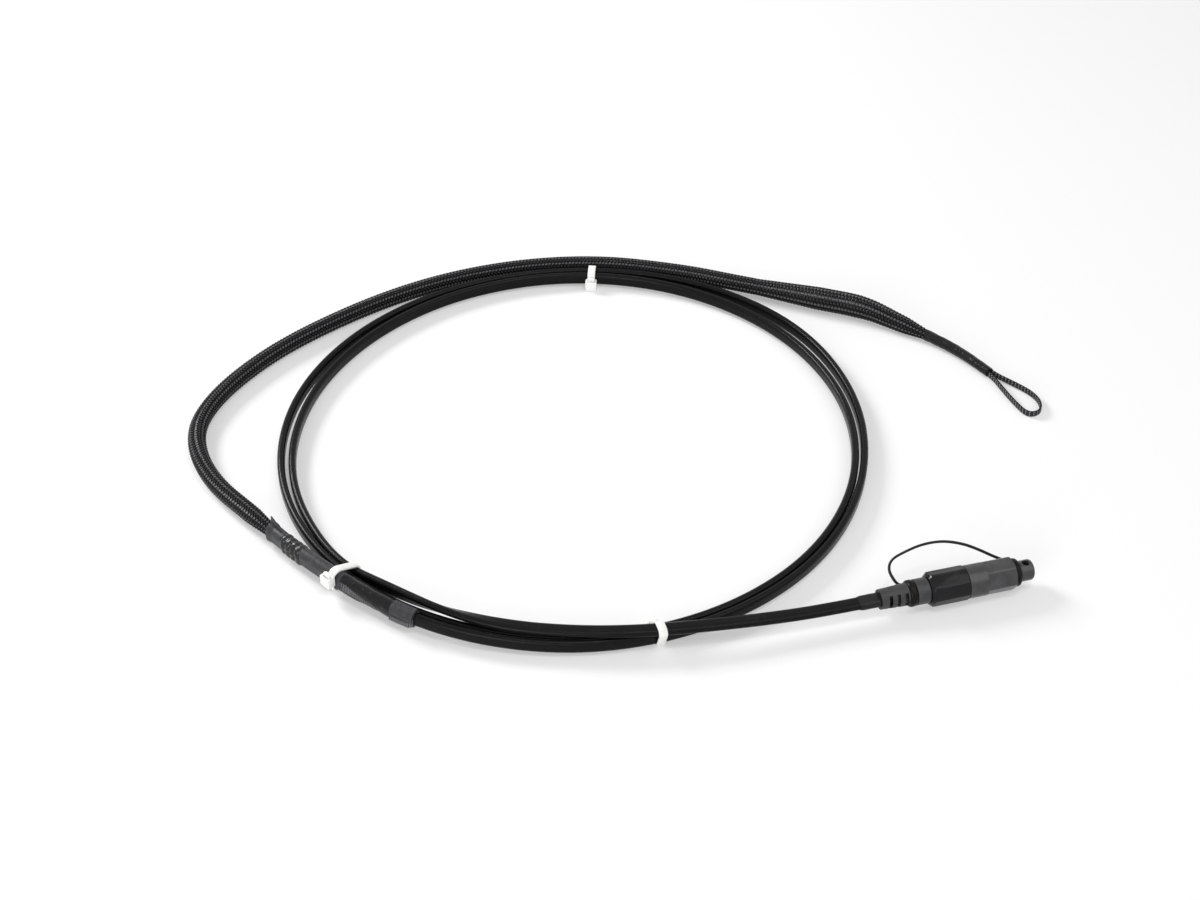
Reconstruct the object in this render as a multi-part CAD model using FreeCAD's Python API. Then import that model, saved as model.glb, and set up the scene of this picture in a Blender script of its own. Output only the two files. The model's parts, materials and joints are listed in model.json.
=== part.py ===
"""Fibre drop cable assembly: a coiled flat drop cable with a hardened plug and a pulling sock.

Millimetres, +Z up. The coil lies on the floor, the plug to the lower right, and the origin is
the middle of the whole assembly's footprint.
"""
import FreeCAD
import Part

import math
import os

Vector = FreeCAD.Vector
UP = Vector(0, 0, 1)
ARC_SHARE = 0.45            # of the shorter run, taken by the arc at each corner of a route

# Flat drop cable and its coil
CABLE_WIDTH = 8.1
CABLE_THICKNESS = 4.4
LANE_GAP = 0.3
COIL_CENTRE = Vector(-28.8, -4.5, 0)
COIL_RADIUS = 165.0
COIL_TURNS = 2
POINTS_PER_TURN = 14
FIRST_CORNER = 2
LOOSE_SPOTS = [(470, 70, 3.0), (588, 50, 6.0)]      # degrees wound, half width, bulge
# How far the coil lies outside a true circle, as (angle, outward)
OUT_OF_ROUND = [
    (0, -0.3), (30, 0.6), (62, 0.0), (90, -2.0), (112, -4.3), (138, -6.2), (160, -5.1), (182, -2.0),
    (203, 1.6), (225, 2.4), (250, 0.6), (275, 0.0), (290, -1.2), (340, -0.9), (360, -0.3),
]
TWIST_CORNERS = 3
TWIST_STATIONS = 8
CABLE_STRAIGHT = 18.0

# Cable ties
TIE_WIDTH = 4.8
TIE_THICKNESS = 1.3
TIE_CLEARANCE = 0.15
TIE_CORNER = 2.0
TIE_HEAD_LENGTH = 6.6
TIE_HEAD_WIDTH = 7.2
TIE_HEAD_HEIGHT = 5.0
TIE_STUB = 2.0
FRONT_TIE_AT = 285.8
BACK_TIE_AT = 85.4
LEFT_TIE_AT = 224.4

# Pulling sock
SOCK_WALL = 0.9
SOCK_SLACK = 0.1
SOCK_RADIUS = 5.6
SOCK_FLARE = 20.0
SWELL_RADIUS = 7.7
SWELL_RAMP = 40.0
SWELL_LENGTH = 26.0
SWELL_FALL = 34.0
SWELL_ELBOW = 70.0
SWELL_END_RADIUS = 5.6
CABLE_IN_SWELL = 14.0
BEND_STATIONS = 4
SOCK_NECK_RADIUS = 2.9
SOCK_NECK_LENGTH = 6.0

# Tape on the sock's mouth, as lengths in the order they lie
TAPE_WALL = 0.5
TAPE_SLACK = 0.05
PATCH_LENGTH = 14.0
DIAGONAL_LENGTH = 35.0
SLEEVE_LENGTH = 32.0
RIDGED_LENGTH = 17.0
FLAG_LENGTH = 13.0
TAPE_MARGIN = 1.0
TIE_ON_SLEEVE = 5.0
RIDGE_COUNT = 4
RIDGE_HEIGHT = 0.5

# Nose sleeve and pull loop
NOSE_WALL = 0.6
NOSE_FIT = 0.05
NOSE_END_RADIUS = 3.3
LOOP_WIDTH = 4.0
LOOP_THICKNESS = 1.3

# Indoor plug inside the swelling
TRANSITION_RADIUS = 4.9
TRANSITION_LENGTH = 18.0
TRANSITION_SOCKET = 6.0
TRANSITION_COLLAR = 2.0
TRANSITION_TIP_RADIUS = 2.2
INDOOR_BOOT_LENGTH = 16.0
INDOOR_BOOT_RADIUS = 3.4
INDOOR_PLUG_LENGTH = 24.0
INDOOR_PLUG_WIDTH = 9.0
INDOOR_PLUG_HEIGHT = 7.4
INDOOR_CAP_LENGTH = 9.0
INDOOR_CAP_WALL = 0.8
INDOOR_FERRULE_OUT = 7.0
FERRULE_RADIUS = 1.25
FIT = 0.05

# Hardened plug, lengths along its axis from the cable side
PLUG_AT = 316.7
PLUG_OUTSIDE = 48.3
PLUG_HEADING = 15.7
PLUG_FLOOR_GAP = 0.1
SHRINK_LENGTH = 12.0
SHRINK_WALL = 0.55
BOOT_LENGTH = 16.0
BOOT_REAR_RADIUS = 5.6
BOOT_FRONT_RADIUS = 6.4
BOOT_SLOT_COUNT = 3
BOOT_SLOT_WIDTH = 1.1
BOOT_SLOT_DEPTH = 1.3
BOOT_SLOT_BELOW = 5.4
CABLE_IN_BOOT = 8.0
BOOT_RING_LENGTH = 4.5
BOOT_RING_RADIUS = 7.5
BOOT_RING_SEAT_RADIUS = 5.4
RING_KNOB_RADIUS = 1.6
NECK_LENGTH = 7.5
NECK_RADIUS = 7.3
BARREL_RADIUS = 5.2
BARREL_BORE_RADIUS = 4.2
PRONG_REACH = 7.7
PRONG_LENGTH = 8.0
PRONG_GAP = 5.0
SPIGOT_RADIUS = 4.7
FLANGE_RADIUS = 5.75
FLANGE_LENGTH = 2.0
NUT_LENGTH = 22.0
NUT_ACROSS_FLATS = 18.4
NUT_CORNER_RADIUS = 9.7
NUT_FLAT_COUNT = 8
NUT_CHAMFER = 1.6
NUT_LIP_LENGTH = 9.6
NUT_PLAY = 0.3
NUT_RUNNING_FIT = 0.08
NUT_BORE_RADIUS = 5.95
THREAD_RADIUS = 6.9
THREAD_LENGTH = 10.5
THREAD_FIT = 0.15
SEAL_RADIUS = 0.55
CAP_CLEARANCE = 1.7
CAP_END_WALL = 4.0
CAP_RADIUS = 9.3
CAP_PLAIN_LENGTH = 11.0
CAP_ACROSS_FLATS = 17.6
CAP_FLAT_COUNT = 6
CAP_CAVITY_RADIUS = 6.2
CAP_EDGE = 0.8
CAP_RING_LENGTH = 3.5
CAP_RING_RADIUS = 7.9
CAP_RING_PLAY = 0.12
CAP_NECK_RADIUS = 4.9
CAP_RING_FIT = 0.1
CAP_LUG_RADIUS = 1.3
CAP_LUG_HEIGHT = 3.4
EYE_LENGTH = 8.5
EYE_RADIUS = 5.9
EYE_HOLE_RADIUS = 2.1
EYE_ROUNDING = 1.8

# Inside the hardened plug
CRIMP_LENGTH = 25.0
CRIMP_SPLIT = 0.1
CRIMP_BAND_LENGTH = 6.0
CRIMP_BAND_WALL = 0.5
FIBRE_BORE_RADIUS = 0.6
HOUSING_LENGTH = 29.0
HOUSING_SIDE = 5.8
HOLDER_RADIUS = 2.0
HOLDER_LENGTH = 8.0
FERRULE_LENGTH = 14.0
FERRULE_SEAT = 4.0
SPRING_RADIUS = 1.7
SPRING_WIRE_RADIUS = 0.25
SPRING_TURNS = 5
SPRING_LENGTH = 11.0

# Cap tether
TETHER_WIDTH = 2.4
TETHER_THICKNESS = 2.0
TETHER_LEAN = 40.0
TETHER_GAP = 0.15

# Routes, chosen by hand. On the tail and the lead a point is (angle of the coil, distance outside the
# coil's radius, height). The tail goes from behind the plug over the coil and into its inner lane.
TAIL_ROUTE = [
    (304.0, 26.0, 10.4), (293.3, 15.4, 12.2), (281.9, 9.0, 12.5), (270.5, 5.6, 12.4),
    (258.1, 4.9, 12.3), (246.0, 3.4, 11.6), (234.0, 1.2, 8.6),
]
# The lead goes from the coil's outer lane into the sock and on to the swelling.
LEAD_ROUTE = [
    (244.3, 17.0, 8.2), (218.6, 18.4, 9.6), (200.9, 30.0, 6.9), (191.5, 46.3, 5.8), (182.8, 57.4, 5.8),
    (175.2, 59.6, 5.8), (165.0, 50.2, 5.8), (150.4, 35.0, 5.8), (127.3, 20.6, 5.8), (106.1, 16.8, 5.8),
    (85.5, 18.7, 5.8), (66.7, 20.6, 6.6), (55.5, 24.6, 8.0), (47.5, 34.6, 8.0),
]
# The nose's points are counted from the cable's end, and the loop's from the nose's end.
NOSE_ROUTE = [(90.0, -43.0, 4.6), (103.0, -53.8, 4.1), (114.5, -66.7, 3.7), (124.4, -80.4, 3.4)]
LOOP_ROUTE = [
    (-6.3, 10.3, 3.5), (2.2, -1.6, 3.3), (13.8, -10.4, 2.5), (22.8, -18.9, 2.2),
    (27.0, -28.0, 2.2), (25.6, -38.0, 2.2), (17.2, -40.6, 2.2), (11.2, -28.8, 2.2),
    (5.8, -15.5, 2.5), (0.6, -2.3, 3.3), (-7.6, 9.3, 3.5),
]
# The tether's points are (share of the way from ring to lug, distance out from the plug's axis).
TETHER_ROUTE = [
    (0.0, 7.6), (-0.085, 8.0), (-0.145, 12.5), (-0.12, 18.6), (-0.02, 22.9), (0.1, 24.9), (0.25, 25.9),
    (0.45, 24.6), (0.62, 20.6), (0.76, 15.9), (0.87, 12.0), (1.0, 10.3),
]

# Stations along the plug, and heights, that follow from the sizes above
COIL_HEIGHT = TIE_THICKNESS + TIE_CLEARANCE + CABLE_WIDTH / 2
LANE_PITCH = CABLE_THICKNESS + LANE_GAP
PLUG_HEIGHT = NUT_CORNER_RADIUS + PLUG_FLOOR_GAP
BOOT_AT = SHRINK_LENGTH
CABLE_END_AT = BOOT_AT + CABLE_IN_BOOT
RING_AT = BOOT_AT + BOOT_LENGTH
NECK_AT = RING_AT + BOOT_RING_LENGTH
NUT_AT = NECK_AT + NECK_LENGTH
CAP_AT = NUT_AT + NUT_LENGTH
FLANGE_AT = NUT_AT + NUT_LIP_LENGTH + NUT_PLAY
THREAD_END_AT = CAP_AT + THREAD_LENGTH
SHROUD_SEAL_AT = THREAD_END_AT + 2 * SEAL_RADIUS
CRIMP_AT = CABLE_END_AT + NUT_PLAY
HOUSING_AT = CRIMP_AT + CRIMP_LENGTH
HOUSING_END_AT = HOUSING_AT + HOUSING_LENGTH
NOSE_AT = HOUSING_END_AT + PRONG_REACH
FERRULE_AT = HOUSING_END_AT - FERRULE_SEAT
CAVITY_END_AT = FERRULE_AT + FERRULE_LENGTH + CAP_CLEARANCE
CAP_END_AT = CAVITY_END_AT + CAP_END_WALL
EYE_AT = CAP_END_AT + CAP_RING_LENGTH
TIP_AT = EYE_AT + EYE_LENGTH
HOLDER_BORE_RADIUS = HOLDER_RADIUS + FIT
SOCK_BOUND = PATCH_LENGTH + DIAGONAL_LENGTH + SLEEVE_LENGTH + RIDGED_LENGTH + FLAG_LENGTH + TAPE_MARGIN
NOSE_BORE_RADIUS = SOCK_NECK_RADIUS + NOSE_FIT
NOSE_END_BORE_RADIUS = NOSE_END_RADIUS - NOSE_WALL


class Route:
    """A path of straight runs joined by tangent arcs, measured by length along it."""

    def __init__(self, name, points):
        self.edges = []
        self.radii = []
        here = points[0]
        for before, corner, after in zip(points, points[1:], points[2:]):
            run_in = corner - before
            run_out = after - corner
            half_turn = run_in.getAngle(run_out) / 2
            reach = ARC_SHARE * min(run_in.Length, run_out.Length)
            radius = reach / math.tan(half_turn)
            into = Vector(run_in).normalize()
            out = Vector(run_out).normalize()
            start = corner - into * reach
            end = corner + out * reach
            inward = (out - into).normalize()
            middle = corner + inward * (radius / math.cos(half_turn) - radius)
            self.edges.append(Part.LineSegment(here, start).toShape())
            self.edges.append(Part.Arc(start, middle, end).toShape())
            self.radii.append(radius)
            here = end
        self.edges.append(Part.LineSegment(here, points[-1]).toShape())
        self.length = sum(edge.Length for edge in self.edges)
        shown = ", ".join(f"{radius:.1f}" for radius in self.radii)
        print(f"{name}: length {self.length:.1f}, radii {shown}")

    def up_to_edge(self, count):
        """Length of the first count edges."""
        return sum(edge.Length for edge in self.edges[:count])

    def at(self, distance):
        """Point and direction at a distance along the route."""
        left = distance
        for edge in self.edges[:-1]:
            if left <= edge.Length:
                break
            left -= edge.Length
        else:
            edge = self.edges[-1]
        parameter = edge.getParameterByLength(min(left, edge.Length))
        return edge.valueAt(parameter), edge.tangentAt(parameter)

    def last_crossing(self, angle):
        """Distance along the route where it last passes an angle of the coil, to the millimetre."""
        distance = self.length
        while coil_angle(self.at(distance)[0]) < angle:
            distance -= 1
        return distance

    def stretch(self, start, end):
        """Wire of the part of the route between two distances."""
        kept = []
        passed = 0.0
        for edge in self.edges:
            first = max(start - passed, 0.0)
            last = min(end - passed, edge.Length)
            passed += edge.Length
            if last - first > 1e-6:
                low = edge.getParameterByLength(first)
                high = edge.getParameterByLength(last)
                kept.append(edge.Curve.toShape(low, high))
        return Part.Wire(kept)


def beside_coil(angle, outside, height):
    """Point at an angle of the coil and a distance outside its radius."""
    turn = math.radians(angle)
    reach = COIL_RADIUS + outside
    return COIL_CENTRE + Vector(reach * math.cos(turn), reach * math.sin(turn), height)


def from_point(origin, points):
    """Route points counted across from an origin, with their own heights."""
    level = Vector(origin.x, origin.y, 0)
    return [level + Vector(*point) for point in points]


def coil_angle(point):
    return math.degrees(math.atan2(point.y - COIL_CENTRE.y, point.x - COIL_CENTRE.x)) % 360


def out_of_round(angle):
    """How far the coil lies outside a true circle at an angle."""
    for (before, low), (after, high) in zip(OUT_OF_ROUND, OUT_OF_ROUND[1:]):
        if before <= angle <= after:
            return low + (high - low) * (angle - before) / (after - before)


def coil_points():
    """Corners of the coil's turns: each run touches a circle that grows by one lane a turn."""
    step = 360 / POINTS_PER_TURN
    points = []
    for index in range(FIRST_CORNER, COIL_TURNS * POINTS_PER_TURN + 1):
        wound = index * step
        radius = COIL_RADIUS + LANE_PITCH * wound / 360
        radius += out_of_round((-90 - wound) % 360)
        for middle, half_width, bulge in LOOSE_SPOTS:
            share = min(abs(wound - middle) / half_width, 1)
            radius += bulge * (1 + math.cos(math.pi * share)) / 2
        corner = radius / math.cos(math.radians(step / 2))
        points.append(beside_coil(-90 - wound, corner - COIL_RADIUS, COIL_HEIGHT))
    return points


def stadium(long_side, short_side, centre, heading, roll):
    """Wire of a flat oval across a heading: on edge at roll 0, lying flat at roll 90."""
    side = Vector(-heading.y, heading.x, 0).normalize()
    turn = math.radians(roll)
    long_axis = UP * math.cos(turn) + side * math.sin(turn)
    short_axis = side * math.cos(turn) - UP * math.sin(turn)
    end = long_axis * ((long_side - short_side) / 2)
    tip = long_axis * (long_side / 2)
    flank = short_axis * (short_side / 2)
    corners = [centre + end + flank, centre + end - flank, centre - end - flank, centre - end + flank]
    return Part.Wire([
        Part.LineSegment(corners[3], corners[0]).toShape(),
        Part.Arc(corners[0], centre + tip, corners[1]).toShape(),
        Part.LineSegment(corners[1], corners[2]).toShape(),
        Part.Arc(corners[2], centre - tip, corners[3]).toShape(),
    ])


def sweep(path, sections):
    """Solid swept along a wire, with the sections kept upright."""
    pipe = Part.BRepOffsetAPI.MakePipeShell(path)
    pipe.setBiNormalMode(UP)
    for section in sections:
        pipe.add(section)
    pipe.build()
    pipe.makeSolid()
    return pipe.shape()


def oval_sweep(route, start, end, long_side, short_side, roll=0):
    centre, heading = route.at(start)
    return sweep(route.stretch(start, end), [stadium(long_side, short_side, centre, heading, roll)])


def round_section(centre, heading, radius):
    level = Vector(heading.x, heading.y, 0).normalize()
    return Part.Wire([Part.makeCircle(radius, centre, level)])


def turned(profile):
    """Solid of revolution about the X axis, from (along, radius) corners."""
    points = [Vector(along, radius, 0) for along, radius in profile]
    face = Part.Face(Part.makePolygon(points + points[:1]))
    return face.revolve(Vector(0, 0, 0), Vector(1, 0, 0), 360)


def rod(start, length, radius):
    return Part.makeCylinder(radius, length, Vector(start, 0, 0), Vector(1, 0, 0))


def seal(at, inner_radius):
    return Part.makeTorus(inner_radius + SEAL_RADIUS, SEAL_RADIUS, Vector(at, 0, 0), Vector(1, 0, 0))


def prism(sides, across_flats, start, length):
    """Bar with flat sides along the X axis, a flat on top."""
    corner = across_flats / 2 / math.cos(math.pi / sides)
    points = []
    for index in range(sides + 1):
        angle = 2 * math.pi * (index + 0.5) / sides
        points.append(Vector(start, corner * math.sin(angle), corner * math.cos(angle)))
    return Part.Face(Part.makePolygon(points)).extrude(Vector(length, 0, 0))


def on_axis(shape, start, heading):
    """Shape made along the X axis, laid along a heading from a start."""
    placed = shape.copy()
    lay = FreeCAD.Placement(start, FreeCAD.Rotation(Vector(1, 0, 0), heading))
    placed.Placement = lay * placed.Placement
    return placed


def plug_point(station):
    """Point on the plug's axis."""
    turn = math.radians(PLUG_HEADING)
    start = beside_coil(PLUG_AT, PLUG_OUTSIDE, PLUG_HEIGHT)
    return start + Vector(math.cos(turn), math.sin(turn), 0) * station


def on_plug(shape):
    return on_axis(shape, plug_point(0), plug_point(1) - plug_point(0))


def make_cable(route, tail_corners):
    """The flat cable: lying flat on the tail, rolling over into the coil, then on edge."""
    twist_start = route.up_to_edge(2 * (tail_corners - TWIST_CORNERS) + 1)
    twist_end = route.up_to_edge(2 * tail_corners)
    flat = oval_sweep(route, 0, twist_start, CABLE_WIDTH, CABLE_THICKNESS, roll=90)
    upright = oval_sweep(route, twist_end, route.length, CABLE_WIDTH, CABLE_THICKNESS)
    wires = []
    for index in range(TWIST_STATIONS + 1):
        share = index / TWIST_STATIONS
        roll = 45 * (1 + math.cos(math.pi * share))
        centre, heading = route.at(twist_start + share * (twist_end - twist_start))
        wires.append(stadium(CABLE_WIDTH, CABLE_THICKNESS, centre, heading, roll))
    twist = Part.makeLoft(wires, True, True)
    cable = flat.fuse([twist, upright])
    section = math.pi * CABLE_THICKNESS ** 2 / 4 + CABLE_THICKNESS * (CABLE_WIDTH - CABLE_THICKNESS)
    print(f"cable: {len(cable.Solids)} solid, volume over section times length "
          f"{cable.Volume / (section * route.length):.4f}")
    return cable.Solids[0]


def nose_core(nose, length, growth):
    """The nose sleeve's tapered bore over a length from its wide end, grown by an amount."""
    taper = (NOSE_BORE_RADIUS - NOSE_END_BORE_RADIUS) / nose.length
    wide = round_section(*nose.at(0), NOSE_BORE_RADIUS + growth)
    narrow = round_section(*nose.at(length), NOSE_BORE_RADIUS - taper * length + growth)
    return sweep(nose.stretch(0, length), [wide, narrow])


def make_nose(nose):
    """Shrink sleeve over the sock's neck and the loop's legs."""
    return nose_core(nose, nose.length, NOSE_WALL).cut(nose_core(nose, nose.length, 0))


def swollen_end(end_route, nose, shrink):
    """The sock's last stretch, round the indoor plug: up a ramp, then tapered round a bend to the nose."""
    fall_at = SWELL_RAMP + SWELL_LENGTH
    profile = [
        (0, SOCK_RADIUS), (SWELL_RAMP, SWELL_RADIUS), (fall_at, SWELL_RADIUS),
        (fall_at + SWELL_FALL, SWELL_END_RADIUS), (end_route.length, NOSE_BORE_RADIUS + NOSE_WALL),
    ]
    bend_at = end_route.up_to_edge(1)
    bend_length = end_route.up_to_edge(2) - bend_at
    stations = {along for along, radius in profile}
    stations |= {bend_at + bend_length * step / BEND_STATIONS for step in range(BEND_STATIONS + 1)}
    sections = []
    for station in sorted(stations):
        for (before, radius), (after, next_radius) in zip(profile, profile[1:]):
            if before <= station <= after:
                share = (station - before) / (after - before)
                here = radius + share * (next_radius - radius) - shrink
        centre, heading = end_route.at(station)
        sections.append(round_section(centre, heading, here))
    sections[-1] = round_section(*nose.at(0), here)
    return Part.makeLoft(sections, True, True)


def make_sock(route, mouth, end_route, nose):
    """Braided sock: bound on to the cable, flared to a round tube, swollen, then drawn to a neck."""
    bound_end = mouth + SOCK_BOUND
    flare_end = bound_end + SOCK_FLARE
    tube_end = route.length - CABLE_IN_SWELL

    def body(shrink):
        growth = 2 * (SOCK_SLACK + SOCK_WALL - shrink)
        bound = [CABLE_WIDTH + growth, CABLE_THICKNESS + growth]
        narrow = stadium(*bound, *route.at(bound_end), 0)
        wide = round_section(*route.at(flare_end), SOCK_RADIUS - shrink)
        return oval_sweep(route, mouth, bound_end, *bound).fuse([
            Part.makeLoft([narrow, wide], True, True),
            sweep(route.stretch(flare_end, tube_end), [wide]),
            swollen_end(end_route, nose, shrink),
        ])

    neck = nose_core(nose, SOCK_NECK_LENGTH, -NOSE_FIT)
    return body(0).cut(body(SOCK_WALL)).fuse(neck)


def make_tapes(route, mouth):
    """The wraps on the sock's mouth, one behind the other."""
    lengths = {
        "tape_patch": PATCH_LENGTH, "tape_diagonal": DIAGONAL_LENGTH, "tape_sleeve": SLEEVE_LENGTH,
        "tape_ridged": RIDGED_LENGTH, "tape_flag": FLAG_LENGTH,
    }
    inner_growth = 2 * (SOCK_SLACK + SOCK_WALL + TAPE_SLACK)
    inner = [CABLE_WIDTH + inner_growth, CABLE_THICKNESS + inner_growth]
    outer = [size + 2 * TAPE_WALL for size in inner]
    tapes = {}
    start = mouth
    for name, length in lengths.items():
        wrap = oval_sweep(route, start, start + length, *outer)
        if name == "tape_ridged":
            pitch = length / RIDGE_COUNT
            ridge = [size + 2 * RIDGE_HEIGHT for size in outer]
            for index in range(RIDGE_COUNT):
                ridge_start = start + pitch * (index + 0.25)
                wrap = wrap.fuse(oval_sweep(route, ridge_start, ridge_start + pitch / 2, *ridge))
        tapes[name] = wrap.cut(oval_sweep(route, start, start + length, *inner))
        start += length
    return tapes


def make_tie(bundle, angle, nearest, furthest, head_side):
    """A tie drawn round what crosses it at an angle of the coil, with its head on one side."""
    turn = FreeCAD.Placement(COIL_CENTRE, FreeCAD.Rotation(UP, angle))
    caught = []
    for solid in bundle:
        turned_back = solid.copy()
        turned_back.Placement = turn.inverse() * turned_back.Placement
        for across in (-TIE_WIDTH / 2, 0, TIE_WIDTH / 2):
            outlines = turned_back.slice(Vector(0, 1, 0), across)
            boxes = [outline.optimalBoundingBox(True, False) for outline in outlines]
            caught += [box for box in boxes if nearest < box.XMin and box.XMax < furthest]
    low_x = min(box.XMin for box in caught) - TIE_CLEARANCE
    high_x = max(box.XMax for box in caught) + TIE_CLEARANCE
    low_z = min(box.ZMin for box in caught) - TIE_CLEARANCE
    high_z = max(box.ZMax for box in caught) + TIE_CLEARANCE

    def ring(growth):
        low = Vector(low_x - growth, -TIE_WIDTH / 2, low_z - growth)
        block = Part.makeBox(high_x - low_x + 2 * growth, TIE_WIDTH, high_z - low_z + 2 * growth, low)
        across = [edge for edge in block.Edges if abs(edge.tangentAt(edge.FirstParameter).y) > 0.9]
        return block.makeFillet(TIE_CORNER + growth, across)

    strap = ring(TIE_THICKNESS)
    outwards = 1 if head_side == "outer" else -1
    face = high_x if outwards > 0 else low_x
    head_low = low_z - TIE_THICKNESS if head_side == "inner" else high_z - TIE_HEAD_LENGTH
    head_x = face if outwards > 0 else face - TIE_HEAD_HEIGHT
    head = Part.makeBox(TIE_HEAD_HEIGHT, TIE_HEAD_WIDTH, TIE_HEAD_LENGTH,
                        Vector(head_x, -TIE_HEAD_WIDTH / 2, head_low))
    rounded = [edge for edge in head.Edges if abs(edge.CenterOfMass.x - face) > TIE_HEAD_HEIGHT / 4]
    head = head.makeFillet(TIE_HEAD_HEIGHT / 6, rounded)
    stub_x = face + outwards * (TIE_HEAD_HEIGHT / 2) - TIE_THICKNESS / 2
    stub = Part.makeBox(TIE_THICKNESS, TIE_WIDTH, TIE_STUB,
                        Vector(stub_x, -TIE_WIDTH / 2, head_low + TIE_HEAD_LENGTH))
    tie = strap.fuse([head, stub]).cut(ring(0))
    tie.Placement = turn * tie.Placement
    return tie


def make_indoor_plug(swell):
    """The indoor plug in the swelling: transition on the cable's end, boot, body, ferrule and cap."""
    socket_at = CABLE_IN_SWELL - TRANSITION_SOCKET
    taper_at = socket_at + TRANSITION_SOCKET + TRANSITION_COLLAR
    boot_at = socket_at + TRANSITION_LENGTH
    plug_at = boot_at + INDOOR_BOOT_LENGTH
    front_at = plug_at + INDOOR_PLUG_LENGTH
    cap_radius = FERRULE_RADIUS + FIT + INDOOR_CAP_WALL
    transition = turned([
        (socket_at, 0), (socket_at, TRANSITION_RADIUS), (taper_at, TRANSITION_RADIUS),
        (boot_at, TRANSITION_TIP_RADIUS), (boot_at, 0),
    ])
    oval = stadium(CABLE_WIDTH + 2 * FIT, CABLE_THICKNESS + 2 * FIT, Vector(0, 0, 0), Vector(1, 0, 0), 0)
    socket = Part.Face(oval).extrude(Vector(CABLE_IN_SWELL, 0, 0))
    transition = transition.cut(socket)
    boot = turned([
        (boot_at, 0), (boot_at, TRANSITION_TIP_RADIUS), (plug_at, INDOOR_BOOT_RADIUS), (plug_at, 0),
    ])
    body = Part.makeBox(INDOOR_PLUG_LENGTH, INDOOR_PLUG_WIDTH, INDOOR_PLUG_HEIGHT,
                        Vector(plug_at, -INDOOR_PLUG_WIDTH / 2, -INDOOR_PLUG_HEIGHT / 2))
    body = body.makeChamfer(INDOOR_PLUG_HEIGHT / 10, body.Edges)
    ferrule_at = front_at - INDOOR_FERRULE_OUT
    body = body.cut(rod(ferrule_at, INDOOR_FERRULE_OUT, FERRULE_RADIUS + FIT))
    ferrule = rod(ferrule_at, 2 * INDOOR_FERRULE_OUT, FERRULE_RADIUS)
    cap = rod(front_at, INDOOR_CAP_LENGTH, cap_radius)
    cap = cap.cut(rod(front_at, INDOOR_CAP_LENGTH - INDOOR_CAP_WALL, FERRULE_RADIUS + FIT))
    pieces = {
        "leg_transition": transition, "indoor_boot": boot, "indoor_plug": body,
        "indoor_ferrule": ferrule, "indoor_cap": cap,
    }
    return {name: on_axis(shape, *swell) for name, shape in pieces.items()}


def make_heat_shrink():
    inner = stadium(CABLE_WIDTH + 2 * FIT, CABLE_THICKNESS + 2 * FIT, Vector(0, 0, 0), Vector(1, 0, 0), 90)
    growth = 2 * (FIT + SHRINK_WALL)
    outer = stadium(CABLE_WIDTH + growth, CABLE_THICKNESS + growth, Vector(0, 0, 0), Vector(1, 0, 0), 90)
    length = Vector(CABLE_END_AT, 0, 0)
    return Part.Face(outer).extrude(length).cut(Part.Face(inner).extrude(length))


def make_boot():
    """Tapered boot with finger slots low on both flanks."""
    boot = turned([(BOOT_AT, 0), (BOOT_AT, BOOT_REAR_RADIUS), (RING_AT, BOOT_FRONT_RADIUS), (RING_AT, 0)])
    growth = 2 * (2 * FIT + SHRINK_WALL)
    oval = stadium(CABLE_WIDTH + growth, CABLE_THICKNESS + growth, Vector(BOOT_AT, 0, 0), Vector(1, 0, 0), 90)
    boot = boot.cut(Part.Face(oval).extrude(Vector(CABLE_IN_BOOT, 0, 0)))
    boot = boot.cut(rod(CABLE_END_AT, RING_AT - CABLE_END_AT, SPIGOT_RADIUS + FIT))
    pitch = BOOT_LENGTH / BOOT_SLOT_COUNT
    for index in range(BOOT_SLOT_COUNT):
        slot_at = BOOT_AT + pitch * (index + 0.75)
        share = (slot_at - BOOT_AT) / BOOT_LENGTH
        radius = BOOT_REAR_RADIUS + share * (BOOT_FRONT_RADIUS - BOOT_REAR_RADIUS)
        ring = rod(slot_at, BOOT_SLOT_WIDTH, 2 * BOOT_FRONT_RADIUS)
        ring = ring.cut(rod(slot_at, BOOT_SLOT_WIDTH, radius - BOOT_SLOT_DEPTH))
        low = Vector(slot_at, -2 * BOOT_FRONT_RADIUS, -BOOT_SLOT_BELOW)
        flanks = Part.makeBox(BOOT_SLOT_WIDTH, 4 * BOOT_FRONT_RADIUS, BOOT_FRONT_RADIUS, low)
        boot = boot.cut(ring.common(flanks))
    return boot


def tether_side():
    """Direction from the plug's axis to the tether, leaning back from upright."""
    lean = math.radians(TETHER_LEAN)
    return Vector(0, math.sin(lean), math.cos(lean))


def make_boot_ring():
    """Keeper ring behind the neck, with the knob that the tether starts from."""
    ring = rod(RING_AT, BOOT_RING_LENGTH, BOOT_RING_RADIUS)
    ring = ring.makeFillet(BOOT_RING_LENGTH / 5, ring.Edges[:1] + ring.Edges[2:])
    rise = tether_side() * (BOOT_RING_RADIUS - RING_KNOB_RADIUS / 3)
    knob = Part.makeSphere(RING_KNOB_RADIUS, Vector(RING_AT + RING_KNOB_RADIUS, 0, 0) + rise)
    return ring.fuse(knob).cut(rod(RING_AT, BOOT_RING_LENGTH, BOOT_RING_SEAT_RADIUS + FIT))


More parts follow.
